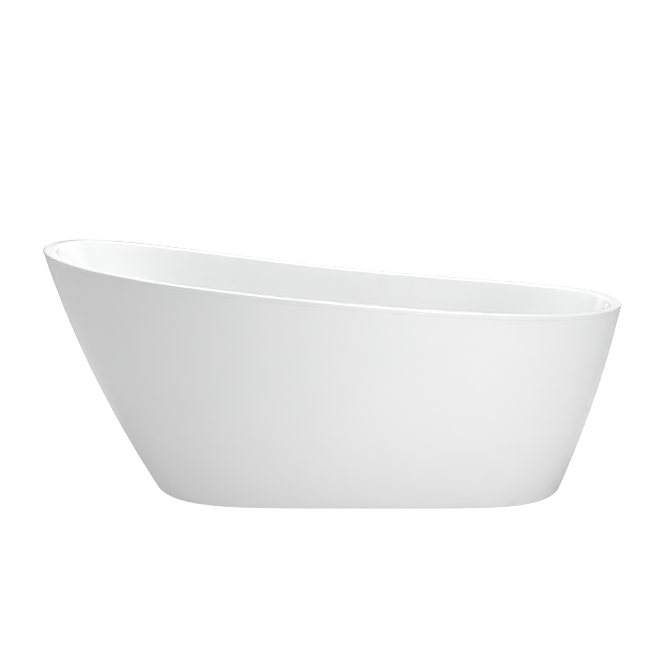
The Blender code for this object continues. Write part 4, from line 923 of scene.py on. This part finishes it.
def make_feet():
    """Pads, studs and lock nuts: one of each is made, and the others are copies of it."""
    pad = turned("pad", [
        (0, SOCKET_FLOOR), (STUD_HOLE, SOCKET_FLOOR), (STUD_HOLE, PAD_BOSS_TOP),
        (PAD_BOSS_RADIUS, PAD_BOSS_TOP),
        (0.01265, PAD_BOSS_TOP / 2), (0.0180, 0.0071), (0.0184, 0.0062), (0.0196, 0.0058), (0.0200, 0.0063),
        (0.0235, 0.005), (PAD_RADIUS, 0.0035), (PAD_RADIUS, 0.0), (0.0225, 0.0), (0.0215, 0.0006),
        (0, 0.0006),
    ], Matrix.Identity(4), 0.0005, 72)
    thread = threaded(STUD_RADIUS, STUD_PITCH, STUD_BOTTOM, STUD_TOP)
    stud = new_object("stud", mesh_of("stud", *thread))
    cut(stud, hexagon(COLLAR_RADIUS, COLLAR_BOTTOM, COLLAR_TOP), "UNION")
    top = RAIL_BOTTOM - GAP
    nut = hexagon(NUT_RADIUS, top - NUT_HEIGHT, top)
    cut(nut, cylinder(STUD_HOLE, top - 2 * NUT_HEIGHT, top + NUT_HEIGHT, Matrix.Identity(4)))
    for end in ("head", "middle", "foot"):
        for side in ("left", "right"):
            centre = middle(f"foot_pad_{end}_{side}")
            place = at(centre.x, centre.y, 0)
            fit(f"foot_pad_{end}_{side}", copied(pad, place), "pad", f"foot_{end}_{side}")
            fit(f"foot_stud_{end}_{side}", copied(stud, place), "zinc", f"stud_{end}_{side}")
            fit(f"foot_lock_nut_{end}_{side}", copied(nut, place), "zinc")
    for used in (pad, stud, nut):
        bpy.data.objects.remove(used)


def make_bolts():
    bolt = hexagon(BOLT_HEAD_RADIUS, 0.0, BOLT_HEAD_HEIGHT, chamfer_bottom=False)
    shank = threaded(BOLT_RADIUS, BOLT_PITCH, -BOLT_LENGTH, BOLT_HEAD_HEIGHT / 2, 28)
    cut(bolt, new_object("tool", mesh_of("tool", *shank)), "UNION")
    for end in ("head", "foot"):
        for side, sign in (("left", 1), ("right", -1)):
            low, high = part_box(f"flange_bolt_{end}_{side}")
            place = at((low.x + high.x) / 2, (low.y + high.y) / 2, low.z + BOLT_LENGTH)
            fit(f"flange_bolt_{end}_{side}", copied(bolt, place), "zinc")
            low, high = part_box(f"rail_bolt_{end}_{side}")
            seat = low.y + BOLT_LENGTH if sign > 0 else high.y - BOLT_LENGTH
            turn = Matrix.Rotation(-sign * math.pi / 2, 4, "X")
            place = at((low.x + high.x) / 2, seat, (low.z + high.z) / 2, turn)
            fit(f"rail_bolt_{end}_{side}", copied(bolt, place), "zinc")
    bpy.data.objects.remove(bolt)


def square_loop(half, radius, steps=5):
    """A square's outline with rounded corners, in plan."""
    points = []
    for k in range(4):
        middle_angle = math.pi / 4 + k * math.pi / 2
        cx = math.copysign(half - radius, math.cos(middle_angle))
        cy = math.copysign(half - radius, math.sin(middle_angle))
        for j in range(steps + 1):
            angle = k * math.pi / 2 + j / steps * math.pi / 2
            points.append((cx + radius * math.cos(angle), cy + radius * math.sin(angle)))
    return points


def square_tube(node, turn):
    """An open tube with rounded edges, filling the node's box and turned from Z to lie along it."""
    low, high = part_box(node)
    centre = (low + high) / 2
    half = (high.z - low.z) / 2
    length = max(high.x - low.x, high.y - low.y) / 2
    outer, inner = square_loop(half, 0.003), square_loop(half - TUBE_WALL, 0.0012)
    rings = [
        [Vector((x, y, z)) for x, y in loop]
        for loop, z in ((outer, -length), (outer, length), (inner, length), (inner, -length))
    ]
    made = new_object("tube", mesh_of("tube", *grid(rings, closed_section=True)), at(*centre, turn))
    smooth(made.data, 30)
    return made


def make_frame():
    half_hole = 0.0075
    for end in ("head", "middle", "foot"):
        bar = square_tube(f"frame_crossbar_{end}", Matrix.Rotation(-math.pi / 2, 4, "X"))
        fit(f"frame_crossbar_{end}", bar, "galvanised")
    for side, sign in (("left", 1), ("right", -1)):
        rail = square_tube(f"frame_rail_{side}", ALONG_X)
        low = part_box(f"frame_rail_{side}")[0]
        for end in ("head", "middle", "foot"):
            centre = middle(f"foot_stud_{end}_{side}")
            cut(rail, cylinder(STUD_HOLE, -half_hole, half_hole, at(centre.x, centre.y, low.z)))
        for end in ("head", "foot"):
            centre = middle(f"rail_bolt_{end}_{side}")
            face = at(centre.x, sign * RAIL_FACE_Y, centre.z, Matrix.Rotation(math.pi / 2, 4, "X"))
            cut(rail, cylinder(BOLT_HOLE, -half_hole, half_hole, face, 32))
        fit(f"frame_rail_{side}", rail, "galvanised")


def make_board():
    """The board under the basin, with its edges eased."""
    low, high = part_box("reinforcing_board")
    length, width = high.x - low.x, high.y - low.y
    shape = (length, width, (low.x + high.x) / 2, (8.0, 8.0), (4.0, 4.0), 0.0)
    edge = 0.001
    rings = []
    for inset, z in ((edge, low.z), (0.0, low.z + edge), (0.0, high.z - edge), (edge, high.z)):
        shrunk = (length - 2 * inset, width - 2 * inset, *shape[2:])
        rings.append([Vector((*oval_point(angle, shrunk), z)) for angle in spread_angles(shape, 128)])
    board = new_object("board", mesh_of("board", *grid(rings, caps=True)))
    smooth(board.data, 30)
    fit("reinforcing_board", board, "board")


make_drain()
make_stopper()
make_spring()
make_overflow()
make_hose()
make_feet()
make_bolts()
make_frame()
make_board()

for name, node in NODES.items():
    if name.startswith("skirt_bracket"):
        node.data.materials.clear()
        node.data.materials.append(M["galvanised"])

# ---------------------------------------------------------------- stage, light and camera

FLOOR_RADIUS, BACKDROP_RADIUS = 30.0, 32.0


def plain(name, grey, emission, one_sided=False):
    """A matt grey that may glow, and that is seen only from its front if one-sided."""
    material = bpy.data.materials.new(name)
    material.use_nodes = True
    tree = material.node_tree
    shader = tree.nodes["Principled BSDF"]
    shader.inputs["Base Color"].default_value = (grey, grey, grey, 1.0)
    shader.inputs["Roughness"].default_value = 0.9
    shader.inputs["Specular IOR Level"].default_value = 0.0
    shader.inputs["Emission Color"].default_value = (1.0, 1.0, 1.0, 1.0)
    shader.inputs["Emission Strength"].default_value = emission
    if one_sided:
        mix = tree.nodes.new("ShaderNodeMixShader")
        clear = tree.nodes.new("ShaderNodeBsdfTransparent")
        facing = tree.nodes.new("ShaderNodeNewGeometry").outputs["Backfacing"]
        tree.links.new(facing, mix.inputs["Fac"])
        tree.links.new(shader.outputs["BSDF"], mix.inputs[1])
        tree.links.new(clear.outputs["BSDF"], mix.inputs[2])
        tree.links.new(mix.outputs["Shader"], tree.nodes["Material Output"].inputs["Surface"])
    return material


def disc(name, z, material):
    bm = bmesh.new()
    bmesh.ops.create_circle(bm, cap_ends=True, segments=ROUND, radius=FLOOR_RADIUS)
    mesh = bpy.data.meshes.new(name)
    bm.to_mesh(mesh)
    bm.free()
    mesh.materials.append(material)
    obj = new_object(name, mesh, at(0, 0, z))
    return obj


def make_stage():
    """The floor that the camera sees, the floor that returns light to the tub, and a white backdrop."""
    seen = disc("floor", -0.0006, plain("floor_pale", 0.3, 1.0, one_sided=True))
    seen.visible_diffuse = False
    seen.visible_glossy = False
    bounce = disc("floor_bounce", -0.0016, plain("floor_bounce", 0.55, 0.297, one_sided=True))
    bounce.visible_camera = False
    bm = bmesh.new()
    bmesh.ops.create_icosphere(bm, subdivisions=5, radius=BACKDROP_RADIUS)
    mesh = bpy.data.meshes.new("backdrop")
    bm.to_mesh(mesh)
    bm.free()
    mesh.materials.append(plain("backdrop_white", 0.0, 1.0))
    backdrop = new_object("backdrop", mesh)
    for ray in ("visible_diffuse", "visible_glossy", "visible_shadow", "visible_transmission"):
        setattr(backdrop, ray, False)


def area(name, place, aim, size, power):
    light = bpy.data.lights.new(name, "AREA")
    light.shape = "RECTANGLE"
    light.size, light.size_y = size
    light.energy = power
    obj = bpy.data.objects.new(name, light)
    obj.location = place
    obj.rotation_euler = (Vector(place) - Vector(aim)).to_track_quat("Z", "Y").to_euler()
    bpy.context.scene.collection.objects.link(obj)


def make_world():
    """All the light comes from the lamps and the floor."""
    world = bpy.data.worlds.new("studio")
    world.use_nodes = True
    world.node_tree.nodes["Background"].inputs["Strength"].default_value = 0.0
    bpy.context.scene.world = world


def make_camera():
    """Nearly square to the tub's long side, a little above it and 3 degrees round to the foot end."""
    azimuth, elevation, distance = 0.0538, 0.1967, 4.5
    target = Vector((0.0, 0.0, 0.33))
    camera = bpy.data.cameras.new("camera")
    camera.sensor_width = 36.0
    camera.lens = 80.935
    camera.shift_x, camera.shift_y = 0.00014, 0.05856
    obj = bpy.data.objects.new("camera", camera)

    def toward(angle):
        flat = math.cos(angle)
        return Vector((math.sin(azimuth) * flat, -math.cos(azimuth) * flat, math.sin(angle)))

    obj.location = target + toward(elevation) * distance
    obj.rotation_euler = toward(elevation).to_track_quat("Z", "Y").to_euler()
    camera.clip_start, camera.clip_end = 0.05, 200.0
    bpy.context.scene.collection.objects.link(obj)
    bpy.context.scene.camera = obj


make_stage()
make_world()
area("overhead", (0.2, 0.0, 3.3), (0.0, 0.0, 0.3), (3.0, 2.2), 110.7)
area("side_foot", (2.6, -0.9, 0.8), (0.4, 0.0, 0.3), (1.2, 1.2), 11.0)
area("near", (0.45, -1.55, 0.65), (0.45, 0.0, 0.5), (0.5, 0.5), 5.93)
area("side_head", (-4.0, -1.5, 1.2), (0.0, 0.0, 0.3), (3.0, 2.2), 36.2)
area("behind", (0.0, 4.2, 2.0), (0.0, 0.0, 0.4), (4.0, 2.0), 20.9)
area("front", (0.3, -5.2, 2.2), (0.0, 0.0, 0.3), (4.0, 2.6), 8.6)
area("low_behind", (0.0, 3.2, 0.3), (0.0, 0.3, 0.3), (3.0, 0.5), 24.0)
make_camera()
settings = bpy.context.scene.view_settings
settings.view_transform = "Standard"
settings.look = "None"
settings.exposure = 0.0
settings.gamma = 1.0
